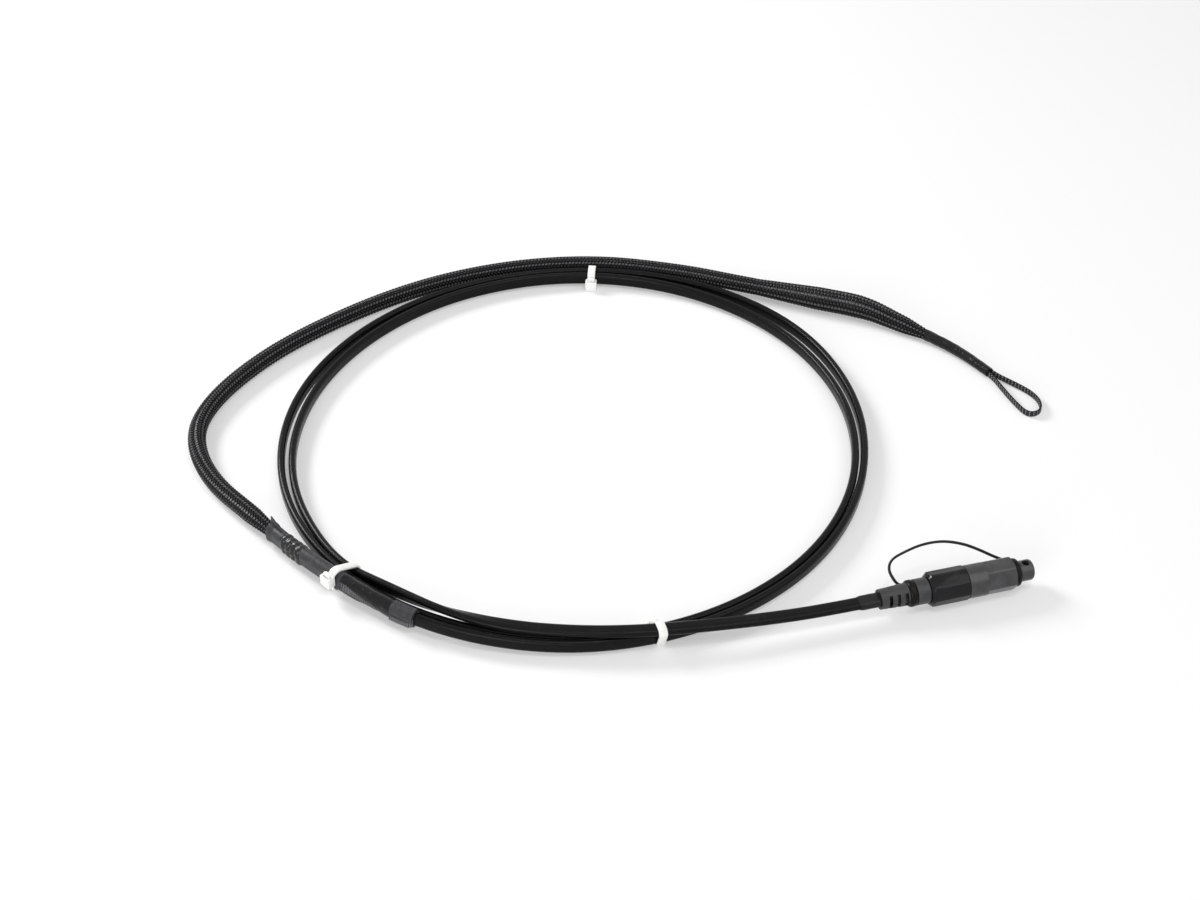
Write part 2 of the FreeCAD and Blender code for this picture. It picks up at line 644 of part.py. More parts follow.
def make_shroud():
    """The plug's body: spigot in the boot, ring seat, neck, barrel with a flange, and two prongs."""
    neck_end = NUT_AT - NUT_PLAY
    groove_at = SHROUD_SEAL_AT - SEAL_RADIUS - FIT
    groove_end = SHROUD_SEAL_AT + SEAL_RADIUS + FIT
    groove_radius = BARREL_RADIUS - SEAL_RADIUS - FIT
    body = turned([
        (CABLE_END_AT, BARREL_BORE_RADIUS), (CABLE_END_AT, SPIGOT_RADIUS), (RING_AT, SPIGOT_RADIUS),
        (RING_AT, BOOT_RING_SEAT_RADIUS), (NECK_AT, BOOT_RING_SEAT_RADIUS), (NECK_AT, NECK_RADIUS),
        (neck_end, NECK_RADIUS), (neck_end, BARREL_RADIUS), (FLANGE_AT, BARREL_RADIUS),
        (FLANGE_AT, FLANGE_RADIUS), (FLANGE_AT + FLANGE_LENGTH, FLANGE_RADIUS),
        (FLANGE_AT + FLANGE_LENGTH, BARREL_RADIUS), (groove_at, BARREL_RADIUS), (groove_at, groove_radius),
        (groove_end, groove_radius), (groove_end, BARREL_RADIUS), (NOSE_AT, BARREL_RADIUS),
        (NOSE_AT, BARREL_BORE_RADIUS),
    ])
    gap = Part.makeBox(PRONG_LENGTH, PRONG_GAP, 4 * BARREL_RADIUS,
                       Vector(NOSE_AT - PRONG_LENGTH, -PRONG_GAP / 2, -2 * BARREL_RADIUS))
    return body.cut(gap)


def make_nut():
    """Eight-sided grip with a chamfered rear, and the threaded spigot that the cap screws on to."""
    grip = prism(NUT_FLAT_COUNT, NUT_ACROSS_FLATS, NUT_AT, NUT_LENGTH)
    rear_radius = NUT_CORNER_RADIUS - NUT_CHAMFER
    front_chamfer = NUT_CHAMFER / 4
    envelope = turned([
        (NUT_AT, 0), (NUT_AT, rear_radius), (NUT_AT + NUT_CHAMFER, NUT_CORNER_RADIUS),
        (CAP_AT - front_chamfer, NUT_CORNER_RADIUS), (CAP_AT, NUT_CORNER_RADIUS - front_chamfer), (CAP_AT, 0),
    ])
    nut = grip.common(envelope).fuse(rod(CAP_AT, THREAD_LENGTH, THREAD_RADIUS))
    lip_end = NUT_AT + NUT_LIP_LENGTH
    nut = nut.cut(rod(NUT_AT, NUT_LIP_LENGTH, BARREL_RADIUS + NUT_RUNNING_FIT))
    return nut.cut(rod(lip_end, THREAD_END_AT - lip_end, NUT_BORE_RADIUS))


def make_dust_cap():
    """Screw cap: plain skirt, six flats, neck for the tether's ring, and a pulling eye."""
    skirt_at = CAP_AT + NUT_PLAY
    recess_at = skirt_at + 2 * SEAL_RADIUS
    cap = rod(skirt_at, CAP_END_AT - skirt_at, CAP_RADIUS)
    front = [edge for edge in cap.Edges if edge.CenterOfMass.x > CAP_END_AT - FIT]
    cap = cap.makeFillet(CAP_EDGE, front)
    flats_at = CAP_AT + CAP_PLAIN_LENGTH
    flats_length = CAP_END_AT - flats_at
    waste = rod(flats_at, flats_length, 2 * CAP_RADIUS)
    waste = waste.cut(prism(CAP_FLAT_COUNT, CAP_ACROSS_FLATS, flats_at, flats_length))
    cap = cap.cut(waste)
    eye = rod(EYE_AT, EYE_LENGTH, EYE_RADIUS)
    tip = [edge for edge in eye.Edges if edge.CenterOfMass.x > TIP_AT - FIT]
    eye = eye.makeFillet(EYE_ROUNDING, tip)
    cap = cap.fuse([rod(CAP_END_AT, CAP_RING_LENGTH, CAP_NECK_RADIUS), eye])
    hole_at = EYE_AT + EYE_LENGTH / 2
    hole_low = Vector(hole_at, 0, -2 * EYE_RADIUS)
    cap = cap.cut(Part.makeCylinder(EYE_HOLE_RADIUS, 4 * EYE_RADIUS, hole_low, UP))
    cap = cap.cut(rod(skirt_at, recess_at - skirt_at, THREAD_RADIUS + 2 * SEAL_RADIUS + FIT))
    cap = cap.cut(rod(recess_at, THREAD_END_AT - recess_at + NUT_PLAY, THREAD_RADIUS + THREAD_FIT))
    return cap.cut(rod(CAP_AT, CAVITY_END_AT - CAP_AT, CAP_CAVITY_RADIUS))


def make_cap_ring():
    """Ring that turns on the cap's neck, with a lug that holds the tether's end."""
    ring_at = CAP_END_AT + CAP_RING_PLAY
    length = CAP_RING_LENGTH - 2 * CAP_RING_PLAY
    ring = rod(ring_at, length, CAP_RING_RADIUS)
    foot = Vector(ring_at + length / 2, 0, 0) + tether_side() * CAP_NECK_RADIUS
    lug_length = CAP_RING_RADIUS + CAP_LUG_HEIGHT - CAP_NECK_RADIUS
    ring = ring.fuse(Part.makeCylinder(CAP_LUG_RADIUS, lug_length, foot, tether_side()))
    return ring.cut(rod(ring_at, length, CAP_NECK_RADIUS + CAP_RING_FIT))


def make_crimp():
    """Two half shells that grip the cable's strength members, and the band round them."""
    radius = BARREL_BORE_RADIUS - FIT
    waist = radius - CRIMP_BAND_WALL - FIT
    band_at = CRIMP_AT + (CRIMP_LENGTH - CRIMP_BAND_LENGTH) / 2
    band_end = band_at + CRIMP_BAND_LENGTH
    core = turned([
        (CRIMP_AT, FIBRE_BORE_RADIUS), (CRIMP_AT, radius), (band_at, radius), (band_at, waist),
        (band_end, waist), (band_end, radius), (HOUSING_AT, radius), (HOUSING_AT, FIBRE_BORE_RADIUS),
    ])
    half_low = Vector(CRIMP_AT, -2 * radius, CRIMP_SPLIT / 2)
    upper = core.common(Part.makeBox(CRIMP_LENGTH, 4 * radius, 2 * radius, half_low))
    lower = upper.copy()
    lower.rotate(Vector(0, 0, 0), Vector(1, 0, 0), 180)
    band = rod(band_at, CRIMP_BAND_LENGTH, radius).cut(rod(band_at, CRIMP_BAND_LENGTH, waist + FIT))
    return {"crimp_half_upper": upper, "crimp_half_lower": lower, "crimp_band": band}


def make_optics():
    """Square housing in the barrel with the sprung ferrule in it."""
    holder_at = HOUSING_END_AT - HOLDER_LENGTH
    spring_at = holder_at - SPRING_LENGTH - CRIMP_SPLIT
    housing = Part.makeBox(HOUSING_LENGTH, HOUSING_SIDE, HOUSING_SIDE,
                           Vector(HOUSING_AT, -HOUSING_SIDE / 2, -HOUSING_SIDE / 2))
    housing = housing.cut(rod(spring_at, HOUSING_END_AT - spring_at, HOLDER_BORE_RADIUS))
    housing = housing.cut(rod(HOUSING_AT, spring_at - HOUSING_AT, FIBRE_BORE_RADIUS))
    holder = rod(holder_at, HOLDER_LENGTH, HOLDER_RADIUS)
    holder = holder.cut(rod(FERRULE_AT, FERRULE_SEAT, FERRULE_RADIUS + FIT))
    ferrule = rod(FERRULE_AT, FERRULE_LENGTH, FERRULE_RADIUS)
    coil_length = SPRING_LENGTH - 2 * SPRING_WIRE_RADIUS
    helix = Part.makeHelix(coil_length / SPRING_TURNS, coil_length, SPRING_RADIUS)
    wire = Part.Wire([Part.makeCircle(SPRING_WIRE_RADIUS, Vector(SPRING_RADIUS, 0, 0), Vector(0, 1, 0))])
    spring = Part.Wire(helix.Edges).makePipeShell([wire], True, True)
    spring.Placement = FreeCAD.Placement(Vector(spring_at + SPRING_WIRE_RADIUS, 0, 0),
                                         FreeCAD.Rotation(UP, Vector(1, 0, 0)))
    return {
        "inner_housing": housing, "ferrule_holder": holder, "ferrule": ferrule, "ferrule_spring": spring,
    }


def make_plug():
    pieces = {
        "cable_heat_shrink": make_heat_shrink(),
        "strain_relief_boot": make_boot(),
        "tether_boot_ring": make_boot_ring(),
        "plug_shroud": make_shroud(),
        "shroud_seal_ring": seal(SHROUD_SEAL_AT, BARREL_RADIUS - SEAL_RADIUS),
        "coupling_nut": make_nut(),
        "nut_seal_ring": seal(CAP_AT + NUT_PLAY / 2 + SEAL_RADIUS, THREAD_RADIUS),
        "dust_cap": make_dust_cap(),
        "tether_cap_ring": make_cap_ring(),
    }
    pieces.update(make_crimp())
    pieces.update(make_optics())
    return {name: on_plug(shape) for name, shape in pieces.items()}


def make_tether():
    """Thin strap from the boot's ring to the cap's ring."""
    out = tether_side()
    lug_at = CAP_END_AT + CAP_RING_LENGTH / 2 - CAP_LUG_RADIUS - TETHER_GAP
    points = [Vector(RING_AT + share * (lug_at - RING_AT), 0, 0) + out * away for share, away in TETHER_ROUTE]
    route = Route("tether_strap", points)
    start, heading = route.at(0)
    side = out.cross(Vector(1, 0, 0))
    thick = heading.cross(side)
    corners = []
    for across, through in ((1, 1), (1, -1), (-1, -1), (-1, 1), (1, 1)):
        edge = side * (across * TETHER_WIDTH / 2)
        corners.append(start + edge + thick * (through * TETHER_THICKNESS / 2))
    pipe = Part.BRepOffsetAPI.MakePipeShell(route.stretch(0, route.length))
    pipe.setBiNormalMode(side)
    pipe.add(Part.makePolygon(corners))
    pipe.build()
    pipe.makeSolid()
    return on_plug(pipe.shape())


def main():
    os.makedirs("parts", exist_ok=True)
    tail = [plug_point(CABLE_END_AT), plug_point(-CABLE_STRAIGHT)]
    tail += [beside_coil(*point) for point in TAIL_ROUTE]
    lead = [beside_coil(*point) for point in LEAD_ROUTE]
    cable_route = Route("drop_cable", tail + coil_points() + lead)
    nose_points = from_point(lead[-1], NOSE_ROUTE)
    nose_route = Route("sock_nose_sleeve", nose_points)
    loop_route = Route("pull_loop", from_point(nose_points[-1], LOOP_ROUTE))
    mouth = cable_route.last_crossing(LEFT_TIE_AT) - TIE_ON_SLEEVE - DIAGONAL_LENGTH - PATCH_LENGTH
    cable_end, swell_heading = cable_route.at(cable_route.length)
    swell = (cable_end - swell_heading * CABLE_IN_SWELL, swell_heading)
    elbow = swell[0] + swell_heading * SWELL_ELBOW
    end_route = Route("pulling_sock end", [swell[0], elbow, nose_route.at(0)[0]])

    pieces = {"drop_cable": make_cable(cable_route, len(tail) - 1)}
    pieces["pulling_sock"] = make_sock(cable_route, mouth, end_route, nose_route)
    pieces.update(make_tapes(cable_route, mouth))
    pieces["sock_nose_sleeve"] = make_nose(nose_route)
    pieces["pull_loop"] = oval_sweep(loop_route, 0, loop_route.length, LOOP_WIDTH, LOOP_THICKNESS)
    pieces.update(make_indoor_plug(swell))
    pieces.update(make_plug())
    pieces["tether_strap"] = make_tether()
    inside = COIL_RADIUS - 2 * CABLE_WIDTH
    outside = COIL_RADIUS + 3 * CABLE_WIDTH
    second_lane = COIL_RADIUS + (COIL_TURNS + 0.5) * LANE_PITCH
    cable = pieces["drop_cable"]
    pieces["front_tie"] = make_tie([cable], FRONT_TIE_AT, inside, outside, "inner")
    pieces["back_tie"] = make_tie([cable], BACK_TIE_AT, inside, second_lane, "inner")
    pieces["left_tie"] = make_tie([cable, pieces["tape_sleeve"]], LEFT_TIE_AT, inside, outside, "outer")

    for name, shape in pieces.items():
        shape.exportStep(f"parts/{name}.step")


main()
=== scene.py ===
"""Dresses the fibre drop cable assembly: flat cable, braided sock, tape, ties and capped plug."""

import bisect
import json
import math

import bpy
from bpy.props import FloatProperty, FloatVectorProperty, IntProperty, PointerProperty
from bpy.types import Operator, Panel, PropertyGroup
from mathutils import Matrix, Vector, noise
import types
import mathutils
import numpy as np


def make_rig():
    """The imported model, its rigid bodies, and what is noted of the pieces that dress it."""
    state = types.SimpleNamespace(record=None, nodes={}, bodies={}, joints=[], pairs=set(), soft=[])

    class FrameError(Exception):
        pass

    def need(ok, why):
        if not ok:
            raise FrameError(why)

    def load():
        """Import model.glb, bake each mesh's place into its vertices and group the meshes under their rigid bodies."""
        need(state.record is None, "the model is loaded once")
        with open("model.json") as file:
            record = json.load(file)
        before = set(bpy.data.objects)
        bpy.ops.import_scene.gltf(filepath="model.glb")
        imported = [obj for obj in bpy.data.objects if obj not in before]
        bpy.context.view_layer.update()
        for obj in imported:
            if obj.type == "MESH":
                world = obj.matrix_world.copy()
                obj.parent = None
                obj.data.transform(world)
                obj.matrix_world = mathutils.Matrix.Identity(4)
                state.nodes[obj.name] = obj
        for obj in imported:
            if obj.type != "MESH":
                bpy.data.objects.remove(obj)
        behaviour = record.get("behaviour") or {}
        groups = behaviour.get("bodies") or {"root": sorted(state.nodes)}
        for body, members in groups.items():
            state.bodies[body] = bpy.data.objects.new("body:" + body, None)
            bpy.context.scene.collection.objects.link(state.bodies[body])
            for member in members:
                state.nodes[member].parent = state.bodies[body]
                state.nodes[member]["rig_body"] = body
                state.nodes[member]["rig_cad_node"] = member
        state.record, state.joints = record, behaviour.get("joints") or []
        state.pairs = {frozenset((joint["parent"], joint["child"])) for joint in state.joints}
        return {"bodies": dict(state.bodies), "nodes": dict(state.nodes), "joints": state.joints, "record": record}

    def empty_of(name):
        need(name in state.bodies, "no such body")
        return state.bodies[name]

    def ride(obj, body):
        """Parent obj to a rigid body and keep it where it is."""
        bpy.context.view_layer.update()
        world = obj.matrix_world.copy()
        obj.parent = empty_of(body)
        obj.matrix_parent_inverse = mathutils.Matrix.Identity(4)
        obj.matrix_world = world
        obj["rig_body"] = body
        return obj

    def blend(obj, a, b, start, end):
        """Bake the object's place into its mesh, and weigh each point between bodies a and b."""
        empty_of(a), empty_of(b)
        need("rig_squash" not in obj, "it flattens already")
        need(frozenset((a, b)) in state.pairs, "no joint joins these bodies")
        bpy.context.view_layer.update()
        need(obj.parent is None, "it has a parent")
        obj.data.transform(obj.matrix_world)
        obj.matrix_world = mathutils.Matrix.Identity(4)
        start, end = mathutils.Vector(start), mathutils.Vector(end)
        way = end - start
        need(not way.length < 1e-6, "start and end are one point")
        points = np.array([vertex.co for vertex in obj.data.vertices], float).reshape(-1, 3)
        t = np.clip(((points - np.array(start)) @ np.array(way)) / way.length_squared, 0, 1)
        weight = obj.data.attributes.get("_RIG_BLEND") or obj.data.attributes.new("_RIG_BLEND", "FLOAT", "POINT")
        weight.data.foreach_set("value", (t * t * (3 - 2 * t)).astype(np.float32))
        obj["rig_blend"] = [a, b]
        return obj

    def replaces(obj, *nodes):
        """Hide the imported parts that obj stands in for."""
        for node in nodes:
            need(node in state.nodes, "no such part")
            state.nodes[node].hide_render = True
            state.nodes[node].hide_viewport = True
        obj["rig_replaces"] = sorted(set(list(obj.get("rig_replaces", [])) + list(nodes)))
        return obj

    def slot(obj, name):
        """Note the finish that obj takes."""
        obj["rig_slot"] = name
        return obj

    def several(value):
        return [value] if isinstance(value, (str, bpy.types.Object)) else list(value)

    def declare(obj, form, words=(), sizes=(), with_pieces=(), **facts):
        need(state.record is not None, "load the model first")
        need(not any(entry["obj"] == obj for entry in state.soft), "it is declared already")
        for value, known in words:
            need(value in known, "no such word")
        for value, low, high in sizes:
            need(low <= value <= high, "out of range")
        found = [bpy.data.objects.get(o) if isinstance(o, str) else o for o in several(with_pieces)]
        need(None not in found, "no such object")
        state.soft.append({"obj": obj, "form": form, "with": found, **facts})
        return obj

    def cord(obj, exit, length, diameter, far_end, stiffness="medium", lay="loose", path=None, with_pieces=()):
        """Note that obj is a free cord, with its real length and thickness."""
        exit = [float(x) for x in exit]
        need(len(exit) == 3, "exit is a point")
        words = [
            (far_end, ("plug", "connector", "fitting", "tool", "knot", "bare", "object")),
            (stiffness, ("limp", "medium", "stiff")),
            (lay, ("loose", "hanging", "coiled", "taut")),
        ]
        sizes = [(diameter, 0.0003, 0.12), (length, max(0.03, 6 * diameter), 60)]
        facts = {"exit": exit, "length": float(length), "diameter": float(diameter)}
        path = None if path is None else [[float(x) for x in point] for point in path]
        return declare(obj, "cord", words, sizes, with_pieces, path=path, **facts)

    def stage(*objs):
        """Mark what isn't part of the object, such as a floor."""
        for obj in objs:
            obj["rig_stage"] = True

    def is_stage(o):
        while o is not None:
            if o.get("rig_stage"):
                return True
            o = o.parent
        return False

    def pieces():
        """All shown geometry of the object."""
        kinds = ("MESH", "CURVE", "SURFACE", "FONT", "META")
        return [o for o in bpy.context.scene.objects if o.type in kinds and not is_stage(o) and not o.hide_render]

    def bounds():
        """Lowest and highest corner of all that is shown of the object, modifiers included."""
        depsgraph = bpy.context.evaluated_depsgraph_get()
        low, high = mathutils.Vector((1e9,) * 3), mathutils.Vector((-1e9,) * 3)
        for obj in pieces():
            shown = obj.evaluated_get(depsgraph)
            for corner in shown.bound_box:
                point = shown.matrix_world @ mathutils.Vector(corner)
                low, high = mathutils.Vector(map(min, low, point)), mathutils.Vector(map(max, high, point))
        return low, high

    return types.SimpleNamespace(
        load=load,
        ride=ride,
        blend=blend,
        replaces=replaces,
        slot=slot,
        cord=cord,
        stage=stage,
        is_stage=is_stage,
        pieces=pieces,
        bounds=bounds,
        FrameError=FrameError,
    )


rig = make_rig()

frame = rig.load()
CAD_BOX = [list(corner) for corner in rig.bounds()]

bl_info = {
    "name": "Fibre drop cable assembly",
    "version": (1, 0, 0),
    "blender": (4, 5, 0),
    "location": "3D View > Sidebar > Drop cable",
    "description": "Builds the visible pieces of a coiled fibre drop cable round its CAD frame",
    "category": "Object",
}

UP = Vector((0, 0, 1))
JOINTS = {joint["name"]: joint for joint in frame["joints"]}
PLUG_START = Vector(JOINTS["nut_turn"]["pos_m"])
PLUG_HEADING = Vector(JOINTS["nut_turn"]["axis"]).normalized()

# The cable's way, in metres: its coil, then (angle of the coil, distance outside it, height).
COIL_CENTRE = Vector((-0.0288, -0.0045, 0))
COIL_RADIUS = 0.165
COIL_TURNS = 2
POINTS_PER_TURN = 14
FIRST_CORNER = 2
LANE_PITCH = 0.0047
COIL_HEIGHT = 0.0055
LOOSE_SPOTS = [(470, 70, 0.003), (588, 50, 0.006)]
OUT_OF_ROUND = [
    (0, -0.0003), (30, 0.0006), (62, 0.0), (90, -0.0020), (112, -0.0043), (138, -0.0062), (160, -0.0051),
    (182, -0.0020), (203, 0.0016), (225, 0.0024), (250, 0.0006), (275, 0.0), (290, -0.0012), (340, -0.0009),
    (360, -0.0003),
]
CABLE_END_AT = 0.020
CABLE_STRAIGHT = 0.018
TAIL_ROUTE = [
    (304.0, 0.0260, 0.0104), (293.3, 0.0154, 0.0122), (281.9, 0.0090, 0.0125), (270.5, 0.0056, 0.0124),
    (258.1, 0.0049, 0.0123), (246.0, 0.0034, 0.0116), (234.0, 0.0012, 0.0086),
]
LEAD_ROUTE = [
    (244.3, 0.0170, 0.0082), (218.6, 0.0184, 0.0096), (200.9, 0.0300, 0.0069), (191.5, 0.0463, 0.0058),
    (182.8, 0.0574, 0.0058), (175.2, 0.0596, 0.0058), (165.0, 0.0502, 0.0058), (150.4, 0.0350, 0.0058),
    (127.3, 0.0206, 0.0058), (106.1, 0.0168, 0.0058), (85.5, 0.0187, 0.0058), (66.7, 0.0206, 0.0066),
    (55.5, 0.0246, 0.0080), (47.5, 0.0346, 0.0080),
]
TWIST_CORNERS = 3
ARC_SHARE = 0.45

# The nose is counted from the cable's end, and the loop from the nose's end.
NOSE_ROUTE = [
    (0.0900, -0.0430, 0.0046), (0.1030, -0.0538, 0.0041),
    (0.1145, -0.0667, 0.0037), (0.1244, -0.0804, 0.0034),
]
LOOP_ROUTE = [
    (-0.0063, 0.0103, 0.0035), (0.0022, -0.0016, 0.0033), (0.0138, -0.0104, 0.0025),
    (0.0228, -0.0189, 0.0022), (0.0270, -0.0280, 0.0022), (0.0256, -0.0380, 0.0022),
    (0.0172, -0.0406, 0.0022), (0.0112, -0.0288, 0.0022), (0.0058, -0.0155, 0.0025),
    (0.0006, -0.0023, 0.0033), (-0.0076, 0.0093, 0.0035),
]

# The tether's points are (station along the plug, distance out from its axis, lean from upright in degrees).
TETHER_ROUTE = [
    (0.0303, 0.0069, 100), (0.0272, 0.0086, 95), (0.0252, 0.0104, 84), (0.0228, 0.0158, 68),
    (0.0250, 0.0205, 58), (0.0335, 0.0230, 55), (0.0440, 0.0252, 55), (0.0560, 0.0250, 55),
    (0.0675, 0.0214, 57), (0.0758, 0.0172, 63), (0.0840, 0.0130, 76), (0.0898, 0.0112, 90),
    (0.0926, 0.0094, 93), (0.0918, 0.0073, 95),
]
TETHER_FROM = 0.028
TETHER_TO = 0.0903
TETHER_LEAN = math.radians(58)

# Sections of the tether's rings, as (station along the plug, radius)
BOOT_RING = [
    (0.0280, 0.00545), (0.0280, 0.0066), (0.0286, 0.00725), (0.0294, 0.0075), (0.0311, 0.0075),
    (0.0319, 0.00725), (0.0325, 0.0066), (0.0325, 0.00545),
]
CAP_RING = [
    (0.09012, 0.0050), (0.09012, 0.0072), (0.0906, 0.0077), (0.0912, 0.0079), (0.0923, 0.0079),
    (0.0929, 0.0077), (0.09338, 0.0072), (0.09338, 0.0050),
]
BOOT_SLOTS = (0.0171, 0.0216, 0.0262)
BOOT_SLOT = Vector((0.0019, 0.005, 0.0098))
BOOT_SLOT_FLOOR = 0.0034
BOOT_SLOT_RISE = -0.0002
# Radius from the plug's axis within which the boot and the shroud are painted with shade, deep in the slots
SLOT_SHADE_RADIUS = 0.0053
CAP_FLAT = Vector((0.018, 0.003, 0.0086))
CAP_FLAT_FROM = 0.073
CAP_FLAT_REACH = 0.0083
CAP_FLATS = 6
CAP_FLAT_TURN = 30
NUT_FLAT_TURN = math.radians(22.5)
RING_STEPS = 72
SHRINK_LENGTH = 0.012
SHRINK_WALL = 0.00055
SHRINK_REAR_SHARE = 0.35
SHRINK_DRAWN_IN = 0.002
SHRINK_CREASE = 0.0001
SHRINK_CREASE_LENGTH = 0.004

# The sock's lengths along the cable, its radii and its strands
CABLE_IN_SWELL = 0.014
SWELL_RAMP = 0.040
SWELL_LENGTH = 0.026
SWELL_FALL = 0.034
SWELL_ELBOW = 0.070
SWELL_STRAIGHT = 0.040
SWELL_END_RADIUS = 0.0056
SOCK_END_RADIUS = 0.0035
SOCK_WALL = 0.00115
SOCK_FLARE = 0.020
STRAND_INSET = 0.00062
STRAND_COVER = 0.80
STRAND_THICKNESS = 0.00044
STRAND_LIFT = 0.00030
STRAND_FILAMENTS = 8.0
# Share of the painted glint that the strands running the other way get
BACK_STRAND_GLINT = 0.75
# Inset of the dark sheet inside the braid that stands in for the shade inside the sock
SHADE_LINING_INSET = 0.0003

# The nose sleeve, and the pull loop's braid
NOSE_RADII = (0.00355, 0.0030)
NOSE_CREASE = 0.00018
NOSE_CREASE_LENGTH = 1 / 300
NOSE_CREASE_TURNS = 1.5
LOOP_INSET = 0.0002
LOOP_STRANDS = 6
LOOP_PITCH = 0.014
LOOP_COVER = 0.95
LOOP_STRAND_THICKNESS = 0.00028
LOOP_STRAND_LIFT = 0.00010
LOOP_STRAND_STEPS = 2
LOOP_FILAMENTS = 6.0
LOOP_TONE = 2.2

# Tapes in order from the sock's mouth, as (length, height above the cable, creases' height and length)
PATCH_LENGTH = 0.014
DIAGONAL_LENGTH = 0.035
DIAGONAL_HEIGHT = 0.0018
RIDGED_LENGTH = 0.017
TAPES = {
    "tape_patch": (PATCH_LENGTH, 0.0018, 0.00008, 0.006),
    "tape_diagonal": (DIAGONAL_LENGTH, DIAGONAL_HEIGHT, 0.0002, 0.004),
    "tape_sleeve": (0.032, 0.00175, 0.00005, 0.008),
    "tape_ridged": (RIDGED_LENGTH, 0.0015, 0.0001, 0.003),
    "tape_flag": (0.013, 0.0017, 0.00012, 0.005),
}
TAPE_CREASE_TURNS = 1.8
TAPE_CORNERS = 96
TAPE_MARGIN = 0.001

# Edges that the braid is bare below, as shares round the cable: 0 is its outer side, a quarter its top.
PATCH_EDGE = -0.03
SLANTING_EDGE = [(0.0, -0.09), (DIAGONAL_LENGTH - 0.006, 0.12), (DIAGONAL_LENGTH, 0.12)]
EDGE_FADE = 0.012
BARE_DOWN_TO = -0.25
BOTTOM_FADE = 0.015
# How much lighter than the braid its painted glints are, on the strands and where the braid shows below the tape
BRAID_GLINT_TONE = 11.0
BARE_HEIGHTS = [(0.0, 0.0016), (0.008, 0.0009), (DIAGONAL_LENGTH, 0.0013)]
HEM_HEIGHT = 0.0012
PATCH_CORNER = 0.0004
CUT_END_HEIGHT = 0.0024
CUT_END_FALL = 0.0012
CUT_END_LENGTH = 0.003
CUT_END_FRAY = 0.0002
CUT_END_FRAYS = 5000
RIDGES = 4
RIDGE_HEIGHT = 0.00055
RIDGE_ROUNDING = 0.6
OUTER_RIDGE_HEIGHT = 0.0005
OUTER_LUMPS = 0.0004
FLAG_FLARE = 0.0007
FLAG_FLARE_FROM = 0.008
FLAG_FLARE_LENGTH = 0.005

# The standing corner of the tape, measured along the flag
CORNER_FROM = 0.0030
CORNER_TIP = 0.0098
CORNER_TO = 0.0128
CORNER_ROOT = 0.0008
CORNER_HEIGHT = 0.0092
CORNER_BLUNT = 0.95
CORNER_SWEEP = 1.6
CORNER_CURL = 0.0012
CORNER_THICKNESS = 0.0005
CORNER_ROWS = 6

# Cable ties, at angles of the coil
TIE_ANGLES = {"front_tie": 285.8, "back_tie": 85.4, "left_tie": 224.4}
TIE_ON_SLEEVE = 0.005
TAPE_ON_TIE = 0.00185
TIE_GAP = 0.00015
TIE_CORNERS = 96
TIE_HEAD = Vector((0.0050, 0.0072, 0.0066))
TIE_HEAD_RIM = 0.0011
TIE_HEAD_DEPTH = 0.003
TIE_STUB = 0.002

# How finely the pieces are sampled
WAY_RESOLUTION = 12
SWELL_RESOLUTION = 24
TETHER_RESOLUTION = 16
WAY_STEP = 0.0015
SEARCH_STEP = 0.001
CABLE_STEP = 0.0025
# Step of the dark sheet that stands for the shade inside the sock
SHADE_LINING_STEP = 0.004
NOSE_STEP = 0.0008
TETHER_STEP = 0.0008
TAPE_STEP = 0.0004
CABLE_CORNERS = 24
NOSE_CORNERS = 32
TETHER_CORNERS = 16
SHRINK_CORNERS = 48
MERGE_DISTANCE = 0.000002
FLAT_WITHIN = math.radians(1)

# Moulded finishes, as (roughness, its spread, grain size, grain depth, tone of the rub, specular level)
MOULDED = {
    # Dark sheet inside the sock, for the painted shade there
    "painted_shade_lining": (0.7, 0.1, 0.0004, 0.00002, 1.6, 0.1),
    "tether_rubber": (0.4, 0.1, 0.0004, 0.00002, 1.6, 0.25),
    "ring_rubber": (0.3, 0.1, 0.0003, 0.00002, 1.6, 0.1),
    "boot_rubber": (0.5, 0.1, 0.0003, 0.00003, 1.6, 0.3),
    "shroud_plastic": (0.4, 0.1, 0.0003, 0.00002, 1.6, 0.3),
    "nut_plastic": (0.14, 0.08, 0.0006, 0.00001, 1.6, 0.2),
    "cap_plastic": (0.24, 0.1, 0.0002, 0.00002, 1.6, 0.4),
    "crimp_plastic": (0.45, 0.1, 0.0004, 0.00002, 1.6, 0.5),
    "seal_rubber": (0.55, 0.1, 0.0004, 0.00002, 1.6, 0.5),
    "housing_plastic": (0.4, 0.1, 0.0004, 0.00002, 1.15, 0.5),
    "polished_ceramic": (0.12, 0.04, 0.0008, 0.000004, 1.02, 0.5),
    "clear_cap": (0.3, 0.08, 0.0005, 0.00001, 1.05, 0.5),
}
# Painted shade in recesses: how far it fades in, and how dark it is
RECESS_SHADE_FADE = 0.0003
RECESS_SHADE_TONE = 0.05

# Finishes of tapes and shrink sleeves, as (roughness, crease depth, specular level)
TAPED = {
    "shiny_shrink": (0.14, 0.0004, 0.2),
    "plug_shrink": (0.35, 0.0001, 0.2),
    "slanting_tape": (0.14, 0.0002, 0.2),
    "patch_tape": (0.4, 0.00008, 0.2),
    "ridged_tape": (0.10, 0.0004, 0.4),
    "matte_tape": (0.4, 0.00008, 0.2),
}
RIDGED_TONE = 0.6

